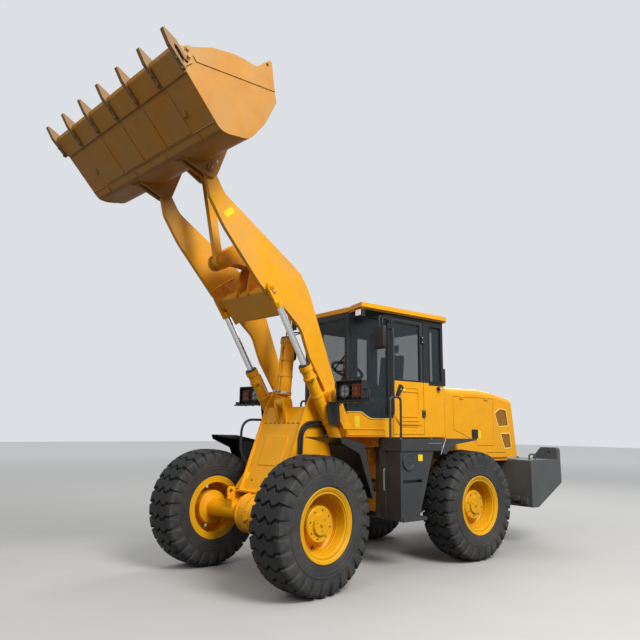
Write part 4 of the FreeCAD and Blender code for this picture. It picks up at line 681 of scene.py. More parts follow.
def cylinder_fittings():
    for name, side in (("left", 1), ("right", -1)):
        body = "lift_barrel_" + name
        place = barrel_frame(LIFT_BASE_PIN, LIFT_ROD_PIN, side * LIFT_PLANE)
        barrel_fittings(body, body, place, 0.066, 1.16, -side * 0.5, -1)
        collar = Build(place)
        ring(collar, 0.985, 0.078, 0.065, 0.035)
        collar.prism(capsule((0.03, 0.085), (0.03, 0.1), 0.016), 0.99, 1.015, plane="xy")
        collar.piece(body + "_collar", body, "yellow_paint")
        rod = Build(FRONT)
        bright = Build(FRONT)
        keeper(rod, bright, LIFT_ROD_PIN, near(LIFT_ROD_PIN, -0.035, -0.055), 0.5, side, 0.034)
        rod.piece("lift_rod_keeper_" + name, "lift_rod_" + name, "yellow_paint")
        bright.piece("lift_rod_bolts_" + name, "lift_rod_" + name, "zinc")
        base = Build(FRONT)
        bright = Build(FRONT)
        keeper(base, bright, LIFT_BASE_PIN, near(LIFT_BASE_PIN, -0.045, 0.05), 0.523, side, 0.032)
        base.bolt((LIFT_BASE_PIN[0] + 0.035, side * 0.523, LIFT_BASE_PIN[1] - 0.02), (0, side, 0), 0.01)
        keeper(base, bright, BOOM_PIVOT, near(BOOM_PIVOT, -0.06, -0.06), 0.587, side, 0.036)
        base.piece("pin_keepers_" + name, "front_half", "yellow_paint")
        bright.piece("pin_bolts_" + name, "front_half", "zinc")
    place = barrel_frame(TILT_BASE_PIN, ROCKER_TOP_PIN, 0)
    barrel_fittings("tilt_barrel", "tilt_barrel", place, 0.084, 0.77, 0.6, 1)
    bright = Build(place)
    ring(bright, 0.105, 0.092, 0.083, 0.022)
    for y in (0.03, -0.03):
        bright.rod((0.086, y, 0.13), (0.125, y, 0.13), 0.016, 6)
    bright.piece("tilt_barrel_ports", "tilt_barrel", "zinc")


# Front half: tower, lamps, hoses and axle

TOWER_FOOT = Vector((1.290, 0, 0.900))
TOWER_UP = Vector((-0.365, 0, 0.940)).normalized()
TOWER_OUT = Vector((0.940, 0, 0.365)).normalized()


def tower_frame():
    """A place on the tower's inclined plate: X to the left, Y up the plate and Z out of it."""
    turn = Matrix((Vector((0, 1, 0)), TOWER_UP, TOWER_OUT)).transposed().to_4x4()
    return FRONT @ Matrix.Translation(TOWER_FOOT) @ turn


def tower_fittings():
    slots = Build(tower_frame())
    for index in range(8):
        y = -0.28 + 0.08 * index
        slots.prism(rectangle((y - 0.022, 0.8), (y + 0.022, 0.812), 0.005, 2), -0.002, 0.0012, plane="xy")
    for y, up in ((-0.21, 0.11), (0.0, 0.11), (0.21, 0.11)):
        slots.prism(circle((y, up), 0.011, 14), -0.002, 0.0012, plane="xy")
    slots.piece("tower_slots", "front_half", "shadow")

    plate = Build(tower_frame())
    plate.prism(rectangle((-0.325, 0.12), (-0.285, 0.2), 0.006, 2), 0, 0.002, plane="xy")
    plate.piece("tower_plate", "front_half", "bare_plate")

    welds = Build(FRONT)
    for side in (1, -1):
        y = side * 0.341
        top = TOWER_FOOT + TOWER_UP * 1.0
        welds.rod((TOWER_FOOT.x + 0.004, y, TOWER_FOOT.z), (top.x + 0.004, y, top.z), 0.009, 8)
        welds.lathe([(-0.006, 0.07), (0.006, 0.07), (0.006, 0.078), (-0.006, 0.07)],
                    (LIFT_BASE_PIN[0], side * 0.366, LIFT_BASE_PIN[1]), (0, 1, 0), 32)
        for z in (1.02, 1.12):
            welds.bolt((0.42, side * 0.36, z), (0, side, 0), 0.014)
            welds.bolt((0.34, side * 0.36, z), (0, side, 0), 0.014)
    welds.piece("tower_welds", "front_half", "yellow_paint", smooth=60)

    foot = Build(tower_frame())
    for side in (1, -1):
        outline = [(0.352, 0.0), (0.47, 0.0), (0.466, 0.02), (0.368, 0.24), (0.352, 0.26)]
        foot.prism([(side * a, b) for a, b in outline], -0.012, -0.0005, plane="xy")
    foot.piece("tower_feet", "front_half", "yellow_paint")


def lamp_fittings():
    lens = Build(FRONT)
    orange = Build(FRONT)
    rims = Build(FRONT)
    bowl = Build(FRONT)
    for side in (1, -1):
        centre = (0.77, side * 0.79, 2.008)
        lens.lathe([(0.002, 0.074), (0.008, 0.06), (0.012, 0.035), (0.0135, 0.0001)], centre, (1, 0, 0), 32)
        rims.lathe([(0, 0.074), (0.012, 0.074), (0.014, 0.078), (0.012, 0.084), (0, 0.084)], centre, (1, 0, 0), 36)
        bowl.lathe([(0.0006, 0.072), (0.0008, 0.04), (0.001, 0.0001)], centre, (1, 0, 0), 24)
        y0, y1 = sorted((side * 0.915, side * 1.03))
        orange.prism(rectangle((y0, 1.945), (y1, 2.07), 0.012), 0.775, 0.785, plane="yz")
        y0, y1 = sorted((side * 0.69, side * 1.07))
        for z in (1.895, 2.12):
            rims.rod((0.8, y0, z), (0.8, y1, z), 0.006, 8)
        for y in (y0, y1):
            rims.rod((0.8, y, 1.895), (0.8, y, 2.12), 0.006, 8)
        for y in (0.72, 0.86, 1.0):
            rims.bolt((0.745, side * y, 1.88), (0, 0, -1), 0.01)
        rims.box((0.7, min(side * 1.08, side * 1.17), 1.895), (0.79, max(side * 1.08, side * 1.17), 1.93))
        rims.tube([(0.75, side * 1.07, 2.02), (0.75, side * 1.13, 2.02), (0.75, side * 1.13, 1.93)], 0.009, 8, 0.03)
    lens.piece("headlamp_lenses", "front_half", "clear_lens")
    bowl.piece("headlamp_bowls", "front_half", "bowl")
    orange.piece("indicator_lenses", "front_half", "orange_lens")
    rims.piece("headlamp_rims", "front_half", "black_plastic")


def hose_fittings():
    y = 0.383
    hoses = Build(FRONT)
    for grow in (0, 0.038):
        hoses.tube([(1.04 + grow, y, 1.19), (1.02 + grow, y, 1.63 + grow), (0.69 - grow, y, 1.63 + grow),
                    (0.64 - grow, y, 1.48)], 0.015, 12, 0.2, 12)
    hoses.tube([(1.16, -y, 1.13), (1.295, -y, 1.3), (1.285, -y, 1.69), (0.94, -y, 1.69), (0.925, -y, 1.57)],
               0.015, 12, 0.2, 12)
    for x0, x1, z, side in ((1.005, 1.115, 1.16, 1), (0.57, 0.68, 1.47, 1), (1.12, 1.19, 1.11, -1),
                            (0.89, 0.96, 1.555, -1)):
        y0, y1 = sorted((side * 0.36, side * 0.402))
        hoses.prism(rectangle((x0, z), (x1, z + 0.035), 0.006), y0, y1)
    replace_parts(hoses.piece("hose_arches", "front_half", "rubber"), "hoses")
    build = Build(FRONT)
    for grow in (0, 0.038):
        build.rod((1.04 + grow, y, 1.195), (1.04 + grow, y, 1.265), 0.019, 6)
        build.rod((1.04 + grow, y, 1.265), (1.04 + grow, y, 1.31), 0.0175, 12)
        build.rod((0.646 - grow, y, 1.50), (0.655 - grow, y, 1.545), 0.0175, 12)
    build.rod((1.17, -y, 1.143), (1.19, -y, 1.168), 0.019, 6)
    build.piece("hose_ferrules", "front_half", "zinc")


def axle_fittings():
    for name, place, x in (("front_half", FRONT, AXLE_X), ("rear_body", REAR, -AXLE_X)):
        build = Build(place)
        for side in (1, -1):
            build.lathe([(side * 0.052, 0.2), (side * 0.052, 0.214), (side * 0.076, 0.214), (side * 0.076, 0.19)],
                        (x, 0, WHEEL_Z), (0, 1, 0), 40)
            for k in range(12):
                a = 2 * math.pi * (k + 0.5) / 12
                build.bolt((x + 0.205 * math.cos(a), side * 0.076, WHEEL_Z + 0.205 * math.sin(a)), (0, side, 0), 0.008,
                           washer=False)
            for reach in (-0.06, 0.06):
                build.bolt((x + reach, side * 0.31, 0.8), (0, 0, 1), 0.02)
                build.bolt((x + reach, side * 0.395, 0.8), (0, 0, 1), 0.02)
        ahead = 1 if x > 0 else -1
        build.rod((x + ahead * 0.17, 0.09, WHEEL_Z - 0.03), (x + ahead * 0.205, 0.1, WHEEL_Z - 0.035), 0.016, 6)
        build.piece("axle_fittings_" + name.split("_")[0], name, "yellow_paint")


def wheel_fittings():
    for name, (place, side, ahead) in WHEELS.items():
        at = place @ Matrix.Translation((ahead * AXLE_X, side * WHEEL_Y, WHEEL_Z)) @ Matrix.Diagonal((1, side, 1, 1))
        dark = Build(at)
        for k in range(8):
            a = 2 * math.pi * (k + 0.3) / 8
            dark.bolt((0.139 * math.cos(a), 0.108, 0.139 * math.sin(a)), (0, 1, 0), 0.0065)
        for k in range(3):
            a = 2 * math.pi * (k + 0.15) / 3
            dark.rod((0.062 * math.cos(a), 0.13, 0.062 * math.sin(a)),
                     (0.062 * math.cos(a), 0.1315, 0.062 * math.sin(a)), 0.006, 12)
        dark.piece("hub_bolts_" + name, "wheel_" + name, "engine_iron")
        plug = Build(at)
        plug.rod((0, 0.13, 0), (0, 0.136, 0), 0.022, 20)
        plug.rod((0, 0.136, 0), (0, 0.144, 0), 0.013, 6)
        plug.lathe([(0.199, 0.36), (0.205, 0.359), (0.207, 0.352), (0.204, 0.345), (0.199, 0.343)],
                   (0, 0, 0), (0, 1, 0), 80, closed=True)
        plug.lathe([(0.062, 0.282), (0.070, 0.284), (0.074, 0.2815), (0.070, 0.277), (0.062, 0.276)],
                   (0, 0, 0), (0, 1, 0), 80, closed=True)
        plug.piece("hub_plug_" + name, "wheel_" + name, "rim_paint")
        valve = Build(at)
        a = math.radians(250)
        foot = Vector((0.297 * math.cos(a), 0.12, 0.297 * math.sin(a)))
        valve.rod(foot, foot + Vector((0, 0.045, 0)) * 0.8, 0.006, 8)
        valve.rod(foot + Vector((0, 0.036, 0)), foot + Vector((0, 0.05, 0)), 0.008, 10)
        valve.piece("valve_" + name, "wheel_" + name, "zinc")


# Cab: glazing, roof, mirrors, doors and what shows inside

CAB_HALF = 0.720


def cab_outside():
    wiper = Build(REAR)
    wiper.rod((0.25, 0.34, 1.655), (0.262, 0.34, 1.655), 0.03, 20)
    wiper.tube([(0.262, 0.34, 1.66), (0.258, 0.35, 2.1), (0.25, 0.362, 2.47)], 0.006, 8, 0.1)
    wiper.rod((0.2445, 0.158, 2.311), (0.2445, 0.382, 2.494), 0.008, 8)
    wiper.rod((0.237, 0.158, 2.311), (0.237, 0.382, 2.494), 0.0035, 6)
    wiper.piece("wiper", "rear_body", "black_plastic")

    plate = Build(REAR)
    along = Vector((-0.37, 0.30, 0)).normalized()
    out = Vector((0.30, 0.37, 0)).normalized()
    turn = Matrix((along, Vector((0, 0, 1)), out)).transposed().to_4x4()
    slant = Matrix.Translation((0.25, 0.42, 0)) @ turn
    plate.prism(rectangle((0.096, 1.612), (0.158, 1.748), 0.008, 3), 0, 0.002, slant, "xy")
    for side in (1, -1):
        low, high = sorted((side * 0.985, side * 0.987))
        plate.prism(rectangle((-0.463, 1.226), (-0.386, 1.302), 0.006, 3), low, high)
    plate.piece("bare_plates", "rear_body", "bare_plate")

    beads = Build(REAR)
    for side in (1, -1):
        flip = Matrix.Diagonal((1, side, 1, 1))
        for z in (1.522, 1.592):
            points = [(0.235, 0.435, z), (-0.105, 0.71, z)]
            beads.rod(flip @ Vector(points[0]), flip @ Vector(points[1]), 0.006, 8)
        beads.rod(flip @ Vector((0.235, 0.435, 1.522)), flip @ Vector((0.235, 0.435, 1.592)), 0.006, 8)
        beads.rod(flip @ Vector((-0.105, 0.71, 1.522)), flip @ Vector((-0.105, 0.71, 1.592)), 0.006, 8)
    beads.piece("cab_beads", "rear_body", "yellow_paint", smooth=60)

    under = Build(REAR)
    plan = rectangle((-0.86, -0.56), (-0.1, 0.56), 0.16, 8)
    under.skin([[(x, y, 1.38) for x, y in inset(plan, 0.012)], [(x, y, 1.392) for x, y in plan],
                [(x, y, 1.4985) for x, y in plan]])
    for side in (1, -1):
        under.prism(rectangle((-0.3, 1.2), (-0.16, 1.37), 0.02), *sorted((side * 0.365, side * 0.38)))
    under.piece("cab_subframe", "rear_body", "yellow_paint")

    # A pale cream bead 14 mm under the seal, along the slanted panel's rounded upper edge: a painted highlight where
    # light catches that edge.
    pale = Build(REAR)

    seal = Build(REAR)
    for side in (1, -1):
        flip = Matrix.Diagonal((1, side, 1, 1))
        route = [(-0.15, 0.722, 1.73), (-0.12, 0.722, 1.73), (0.02, 0.612, 1.73), (0.066, 0.575, 1.765),
                 (0.11, 0.537, 1.812), (0.245, 0.428, 1.812)]
        seal.tube([flip @ Vector(p) for p in route], 0.008, 8, 0.03)
        pale.tube([flip @ Vector((x, y, z - 0.014)) for x, y, z in route], 0.006, 8, 0.03)
    seal.tube([(0.252, 0.418, 1.812), (0.252, 0.32, 1.668), (0.252, -0.32, 1.668), (0.252, -0.418, 1.812)],
              0.008, 8, 0.03)
    pale.piece("cab_edge_highlights", "rear_body", "pale_rim", smooth=60)
    outer, inner = rectangle((-1.166, 2.199), (-0.914, 2.956), 0.03), rectangle((-1.148, 2.217), (-0.932, 2.938), 0.02)
    for side in (1, -1):
        seal.band(outer, inner, *sorted((side * CAB_HALF, side * (CAB_HALF + 0.004))))
    outer, inner = rectangle((-0.566, 2.224), (0.566, 2.936), 0.05), rectangle((-0.548, 2.242), (0.548, 2.918), 0.04)
    seal.band(outer, inner, -1.204, -1.2, plane="yz")
    seal.piece("cab_seals", "rear_body", "rubber")

    stay = Build(REAR)
    for side in (1, -1):
        x, z = -1.079, 2.128
        y = side * CAB_HALF
        stay.rod((x, y, z), (x, y + side * 0.03, z), 0.026, 20, 0.018)
        stay.lathe([(0.03, 0.006), (0.03, 0.026), (0.044, 0.026), (0.05, 0.02), (0.05, 0.006)],
                   (x, y if side > 0 else y, z), (0, side, 0), 24)
        stay.prism(rectangle((-1.245, 2.17), (-1.2, 2.4), 0.01), *sorted((side * 0.6, side * 0.715)))
    stay.piece("door_stays", "rear_body", "black_plastic")
    pale = Build(REAR)
    for side in (1, -1):
        y = side * (CAB_HALF + 0.05)
        pale.lathe([(0, 0.0001), (0, 0.019), (0.004, 0.019), (0.005, 0.0001)], (-1.079, y, 2.128), (0, side, 0), 20)
    pale.piece("door_stay_pads", "rear_body", "bowl")

    roof = Build(REAR)
    for side in (1, -1):
        roof.rod((-1.19, side * 0.78, 3.042), (0.27, side * 0.776, 3.042), 0.006, 8)
    roof.rod((-1.25, -0.70, 3.042), (-1.25, 0.70, 3.042), 0.006, 8)
    roof.piece("roof_gutter", "rear_body", "yellow_paint", smooth=60)

    lamps = Build(REAR)
    for side in (1, -1):
        y0, y1 = sorted((side * 0.65, side * 0.74))
        lamps.prism(rectangle((y0, 2.94), (y1, 3.01), 0.012), 0.31, 0.315, plane="yz")
        y0, y1 = sorted((side * 0.53, side * 0.63))
        lamps.prism(rectangle((y0, 2.953), (y1, 3.012), 0.012), -1.24, -1.235, plane="yz")
    lamps.piece("roof_lamp_lenses", "rear_body", "white_lens")


def mirror_pair():
    build = Build(REAR)
    for side in (1, -1):
        flip = Matrix.Diagonal((1, side, 1, 1))
        shell = []
        for x, grow, radius in ((0.12, -0.006, 0.03), (0.126, 0, 0.036), (0.15, 0, 0.036), (0.168, -0.014, 0.03),
                                (0.175, -0.04, 0.02)):
            outline = rectangle((0.8 - grow, 2.53 - grow), (0.985 + grow, 2.8 + grow), radius)
            shell.append([flip @ Vector((x, y, z)) for y, z in outline])
        build.skin(shell)
        build.tube([flip @ Vector(p) for p in ((0.15, 0.89, 2.79), (0.15, 0.89, 2.935), (0.0, 0.8, 2.935),
                                               (-0.19, 0.728, 2.935))], 0.01, 10, 0.06)
        build.tube([flip @ Vector(p) for p in ((0.15, 0.93, 2.79), (0.15, 0.945, 2.86), (0.1, 0.89, 2.9),
                                               (0.03, 0.82, 2.93))], 0.007, 8, 0.03)
        build.box(flip @ Vector((-0.215, 0.7203, 2.915)), flip @ Vector((-0.15, 0.734, 2.955)))
        build.rod(flip @ Vector((0.15, 0.89, 2.785)), flip @ Vector((0.15, 0.89, 2.82)), 0.018, 14)
        for x in (-0.2, -0.165):
            build.bolt(flip @ Vector((x, 0.734, 2.945)), (0, side, 0), 0.006)
    made = build.piece("mirror_arms", "rear_body", "black_plastic")
    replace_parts(made, "mirrors")
    glass = Build(REAR)
    for side in (1, -1):
        y0, y1 = sorted((side * 0.815, side * 0.97))
        glass.prism(rectangle((y0, 2.545), (y1, 2.785), 0.025), 0.1185, 0.1205, plane="yz")
    glass.piece("mirror_glass", "rear_body", "mirror")


def door_fittings():
    for name, side in (("left", 1), ("right", -1)):
        body = "door_" + name
        seal = Build(REAR)
        outer = rectangle((-0.762, 2.19), (-0.25, 2.955), 0.03)
        inner = rectangle((-0.735, 2.212), (-0.277, 2.93), 0.02)
        seal.band(outer, inner, *sorted((side * 0.714, side * 0.719)))
        seal.piece("door_seal_" + name, body, "rubber")
        trim = Build(REAR)
        trim.prism(rectangle((-0.47, 2.07), (-0.4, 2.1), 0.006, 2), *sorted((side * 0.72, side * 0.7215)))
        trim.piece("door_plate_" + name, body, "bare_plate")
        bead = Build(REAR)
        y = side * 0.7195
        groove = Build(REAR)
        groove.tube([(-0.262, y, 1.79), (-0.262, y, 1.76), (-0.37, y, 1.65), (-0.755, y, 1.65)], 0.0035, 6, 0.02)
        groove.piece("door_grooves_" + name, body, "shadow")
        bead.tube([(-0.27, y, 1.73), (-0.37, y, 1.632), (-0.755, y, 1.632)], 0.005, 6, 0.02)
        bead.tube([(-0.4, y, 1.7), (-0.74, y, 1.7), (-0.74, y, 1.79)], 0.004, 6, 0.02)
        inner = [(a, y, b) for a, b in rectangle((-0.7, 1.75), (-0.38, 2.06), 0.03)]
        bead.tube(inner + inner[:2], 0.004, 6, 0.01, 2)
        bead.piece("door_beads_" + name, body, "yellow_paint", smooth=60)
        lock = Build(REAR)
        lock.rod((-0.352, side * 0.755, 2.085), (-0.352, side * 0.757, 2.085), 0.012, 16)
        for z in (1.765, 1.825, 2.715, 2.775):
            lock.bolt((-0.785, side * 0.735, z), (0, side, 0), 0.007)
        lock.piece("door_lock_" + name, body, "zinc")
        lining = Build(REAR)
        lining.prism(rectangle((-0.76, 1.58), (-0.28, 2.15), 0.03), *sorted((side * 0.676, side * 0.68)))
        lining.tube([(-0.62, side * 0.676, 2.0), (-0.62, side * 0.64, 2.0), (-0.42, side * 0.64, 2.0),
                     (-0.42, side * 0.676, 2.0)], 0.009, 8, 0.02)
        lining.piece("door_lining_" + name, body, "black_plastic")


def cab_inside():
    build = Build(REAR)
    build.prism([(0.03, 2.05), (0.19, 2.05), (0.19, 2.11), (0.12, 2.165), (0.035, 2.1)], -0.17, 0.17)
    build.prism(rectangle((-1.14, -0.66), (-0.02, 0.66), 0.05), 1.53, 1.536, plane="xy")
    build.prism([(-0.78, 1.536), (-0.3, 1.536), (-0.34, 2.0), (-0.42, 2.04), (-0.78, 2.04)], -0.42, -0.29)
    build.prism([(-0.76, 1.536), (-0.5, 1.536), (-0.52, 1.9), (-0.76, 1.94)], 0.3, 0.4)
    for x, y in ((-0.42, -0.335), (-0.42, -0.38), (-0.5, -0.335)):
        build.tube([(x, y, 2.03), (x + 0.02, y, 2.12), (x + 0.03, y, 2.19)], 0.006, 8)
        build.lathe([(0, 0.004), (0.006, 0.016), (0.02, 0.02), (0.034, 0.014), (0.038, 0.0001)],
                    (x + 0.03, y, 2.185), (0.1, 0, 1), 16)
    for y in (-0.28, 0.26):
        build.prism([(0.02, 1.536), (0.1, 1.62), (0.11, 1.61), (0.04, 1.53)], y - 0.04, y + 0.04)
    for y in (0.255, -0.31):
        build.prism(capsule((-0.85, 2.13), (-0.56, 2.105), 0.03, 0.026), y, y + 0.055)
        build.rod((-0.87, y + 0.027, 2.13), (-0.9, y + 0.027, 1.98), 0.012, 10)
    build.piece("cab_console", "rear_body", "trim")

    wheel = Build(REAR)
    centre = Vector((-0.122, 0, 2.352))
    axis = Vector((-0.19, 0, 0.38)).normalized()
    tube = [(0.0205 * math.sin(a), 0.206 + 0.0205 * math.cos(a)) for a in (2 * math.pi * k / 12 for k in range(12))]
    wheel.lathe(tube, centre, axis, 56, closed=True)
    wheel.lathe([(-0.03, 0.03), (-0.02, 0.05), (0.012, 0.052), (0.02, 0.042), (0.024, 0.0001)], centre, axis, 28)
    wheel.rod(centre + axis * 0.01 + Vector((0.04, 0.19, 0.02)), centre + axis * 0.07 + Vector((0.04, 0.19, 0.02)), 0.014,
              14, 0.022)
    wheel.piece("wheel_grip", "rear_body", "rubber")

    dials = Build(REAR)
    slope = Vector((-0.085, 0, 0.065)).normalized()
    for y in (-0.1, -0.03, 0.04, 0.11):
        spot = Vector((0.077, y, 2.132))
        dials.lathe([(0, 0.026), (0.004, 0.026), (0.005, 0.022), (0.003, 0.0001)], spot, slope.cross((0, 1, 0)), 20)
    dials.piece("dash_dials", "rear_body", "bowl")


def cushion(name, low, high, place, channels):
    """A stuffed pad: a rounded block, blown up as cloth, with sewn channels across its face."""
    inset_by = 0.016
    block = bmesh.new()
    bmesh.ops.create_cube(block, size=1)
    size = [b - a - 2 * inset_by for a, b in zip(low, high)]
    middle = [(a + b) / 2 for a, b in zip(low, high)]
    bmesh.ops.scale(block, vec=size, verts=block.verts)
    bmesh.ops.bevel(block, geom=block.edges[:], offset=min(size) * 0.3, segments=4, profile=0.5, affect="EDGES")
    data = bpy.data.meshes.new(name)
    block.to_mesh(data)
    block.free()
    pad = bpy.data.objects.new(name, data)
    bpy.context.scene.collection.objects.link(pad)
    remesh = pad.modifiers.new("even", "REMESH")
    remesh.mode = "VOXEL"
    remesh.voxel_size = 0.009
    apply_modifiers(pad)
    blow_up(pad, 0.014)
    for vertex in pad.data.vertices:
        for axis, face, at, depth in channels:
            if vertex.co[face] * (1 if depth > 0 else -1) > 0:
                fade = math.exp(-((vertex.co[axis] - at) / 0.011) ** 2)
                vertex.co[face] -= depth * fade
    smooth = pad.modifiers.new("round", "SUBSURF")
    smooth.levels = 1
    smooth.render_levels = 1
    apply_modifiers(pad)
    pad.data.transform(place @ Matrix.Translation(middle))
    pad.data.polygons.foreach_set("use_smooth", [True] * len(pad.data.polygons))
    pad.data.materials.clear()
    pad.data.materials.append(MATERIALS["seat_fabric"])
    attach(pad, "rear_body")
    return pad


def apply_modifiers(pad):
    graph = bpy.context.evaluated_depsgraph_get()
    graph.update()
    made = bpy.data.meshes.new_from_object(pad.evaluated_get(graph))
    pad.modifiers.clear()
    old, pad.data = pad.data, made
    made.name = pad.name
    bpy.data.meshes.remove(old)


def blow_up(pad, cap):
    """Inflates a closed mesh as cloth and caps how far each point may move."""
    rest = [v.co.copy() for v in pad.data.vertices]
    cloth = pad.modifiers.new("blow", "CLOTH")
    cloth.settings.use_pressure = True
    cloth.settings.uniform_pressure_force = 4
    cloth.settings.effector_weights.gravity = 0
    scene = bpy.context.scene
    for step in range(1, 21):
        scene.frame_set(step)
    apply_modifiers(pad)
    scene.frame_set(1)
    for vertex, start in zip(pad.data.vertices, rest):
        way = vertex.co - start
        if way.length > cap:
            vertex.co = start + way * (cap / way.length)


def seat():
    lean = Matrix.Rotation(math.radians(-7.3), 4, "Y")
    back_place = REAR @ Matrix.Translation((-0.88, 0, 1.96)) @ lean
    head_place = REAR @ Matrix.Translation((-0.968, 0, 2.63)) @ lean
    top, front = 2, 0
    made = cushion("seat_cushion", (-0.93, -0.25, 1.85), (-0.44, 0.25, 1.99), REAR,
                   [(1, top, -0.15, 0.009), (1, top, 0.15, 0.009), (0, top, -0.05, 0.007), (0, top, 0.08, 0.007)])
    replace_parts(made, "seat")
    cushion("seat_back", (-0.05, -0.235, 0), (0.045, 0.235, 0.68), back_place,
            [(1, front, -0.15, 0.009), (1, front, 0.15, 0.009), (2, front, -0.08, 0.006), (2, front, 0.08, 0.006)])
    cushion("seat_head", (-0.032, -0.13, 0), (0.032, 0.13, 0.15), head_place, [(1, front, 0.0, 0.0)])

    base = Build(REAR)
    levels = [(1.5303, 0.2), (1.6, 0.2), (1.6, 0.185)]
    for k in range(6):
        levels += [(1.61 + 0.032 * k, 0.185), (1.626 + 0.032 * k, 0.165)]
    levels += [(1.80, 0.185), (1.80, 0.2), (1.85, 0.2)]
    base.skin([[(-0.7 + dx * half, dy * half, z) for dx, dy in ((-1, -1), (1, -1), (1, 1), (-1, 1))]
               for z, half in levels])
    base.box((-0.93, -0.21, 1.845), (-0.47, 0.21, 1.87))
    base.prism([(-0.935, 1.86), (-0.915, 1.86), (-0.9, 2.0), (-0.98, 2.58), (-1.0, 2.58), (-0.94, 2.0)], -0.2, 0.2)
    for y in (-0.06, 0.06):
        base.rod((-0.965, y, 2.55), (-0.978, y, 2.68), 0.006, 8)
    base.piece("seat_base", "rear_body", "black_plastic")


# Hood: rims, weave, seams and latches

GRILLES = [
    [(-2.410, 1.845), (-2.540, 1.912), (-2.690, 1.893), (-2.735, 1.663), (-2.490, 1.650)],
    [(-2.535, 1.552), (-2.760, 1.556), (-2.785, 1.348), (-2.620, 1.340)],
]
HOOD_HALF = 0.640


def clipped(outline, start, way):
    """The stretch of a line inside a convex outline, as two points or nothing."""
    low, high = -10.0, 10.0
    middle = sum((Vector(p) for p in outline), Vector((0, 0))) / len(outline)
    for a, b in zip(outline, outline[1:] + outline[:1]):
        a, b = Vector(a), Vector(b)
        normal = Vector((a.y - b.y, b.x - a.x))
        if normal.dot(middle - a) < 0:
            normal = -normal
        rate, gap = normal.dot(way), normal.dot(start - a)
        if abs(rate) < 1e-9:
            if gap < 0:
                return None
            continue
        reach = -gap / rate
        if rate > 0:
            low = max(low, reach)
        else:
            high = min(high, reach)
    return (start + way * low, start + way * high) if low < high else None


def hood_fittings():
    rims = Build(REAR)
    wires = Build(REAR)
    for outline in GRILLES:
        middle = sum((Vector(p) for p in outline), Vector((0, 0))) / len(outline)
        for side in (1, -1):
            rims.band(inset(outline, -0.008), inset(outline, 0.008), *sorted((side * 0.6395, side * 0.644)))
            for turn, y in ((1, 0.6305), (-1, 0.6335)):
                way = Vector((1, turn)).normalized()
                across = Vector((-way.y, way.x))
                for k in range(-22, 23):
                    ends = clipped(outline, middle + across * k * 0.0155, way)
                    if ends:
                        (x0, z0), (x1, z1) = ends
                        wires.rod((x0, side * y, z0), (x1, side * y, z1), 0.0026, 4)
    rims.piece("hood_rims", "rear_body", "pale_rim")
    wires.piece("hood_weave", "rear_body", "weave", smooth=0)

    seams = Build(REAR)
    for side in (1, -1):
        seams.rod((-2.19, side * 0.6395, 1.287), (-2.64, side * 0.6395, 1.284), 0.0035, 6)
        seams.rod((-1.22, side * 0.6395, 1.345), (-1.47, side * 0.6395, 1.44), 0.0025, 6)
        seams.tube([(-2.382, side * 0.6395, 2.04), (-2.40, side * 0.63, 2.09), (-2.41, side * 0.585, 2.138),
                    (-2.42, side * 0.3, 2.1385), (-2.42, 0, 2.1385)], 0.0035, 6, 0.04)
    seams.piece("hood_seams", "rear_body", "shadow")

    rear = Build(REAR)
    lens_red = Build(REAR)
    lens_orange = Build(REAR)
    slope = (2.815 - 2.925) / (2.070 - 1.216)
    for side in (1, -1):
        y0, y1 = sorted((side * 0.47, side * 0.6))
        for build, z0, z1, grow, deep in ((rear, 1.40, 1.72, 0.0, 0.018), (lens_red, 1.412, 1.55, 0.012, 0.024),
                                          (lens_orange, 1.562, 1.708, 0.012, 0.024)):
            middle = (z0 + z1) / 2
            x = -2.925 - slope * (middle - 1.216)
            place = Matrix.Translation((x, 0, middle)) @ Matrix.Rotation(math.atan(-slope), 4, "Y")
            half = (z1 - z0) / 2
            build.prism(rectangle((y0 + grow, -half), (y1 - grow, half), 0.01), -deep, 0.004, place, "yz")
    rear.piece("rear_lamp_cases", "rear_body", "black_plastic")
    lens_red.piece("tail_lenses", "rear_body", "red_lens")
    lens_orange.piece("rear_indicator_lenses", "rear_body", "orange_lens")

    for name, side in (("left", 1), ("right", -1)):
        latch = Build(REAR)
        y = side * HOOD_HALF
        flip = Matrix.Diagonal((1, side, 1, 1))
        outer, inner = rectangle((-1.995, 1.485), (-1.868, 1.606), 0.016), rectangle((-1.983, 1.497), (-1.88, 1.594), 0.01)
        latch.band(outer, inner, *sorted((y, y + side * 0.012)))
        latch.prism(inner, *sorted((y, y + side * 0.0085)))
        latch.prism(rectangle((-1.972, 1.515), (-1.935, 1.576), 0.008), *sorted((y + side * 0.006, y + side * 0.011)))
        latch.rod(flip @ Vector((-1.9, 0.646, 1.546)), flip @ Vector((-1.9, 0.654, 1.546)), 0.012, 16)
        latch.piece("hood_latch_" + name, "hood_door_" + name, "black_plastic")
        plate = Build(REAR)
        plate.prism(rectangle((-2.076, 1.485), (-2.014, 1.592), 0.006, 3), *sorted((y, y + side * 0.002)))
        plate.piece("hood_plate_" + name, "hood_door_" + name, "bare_plate")


# Deck, tanks and counterweight

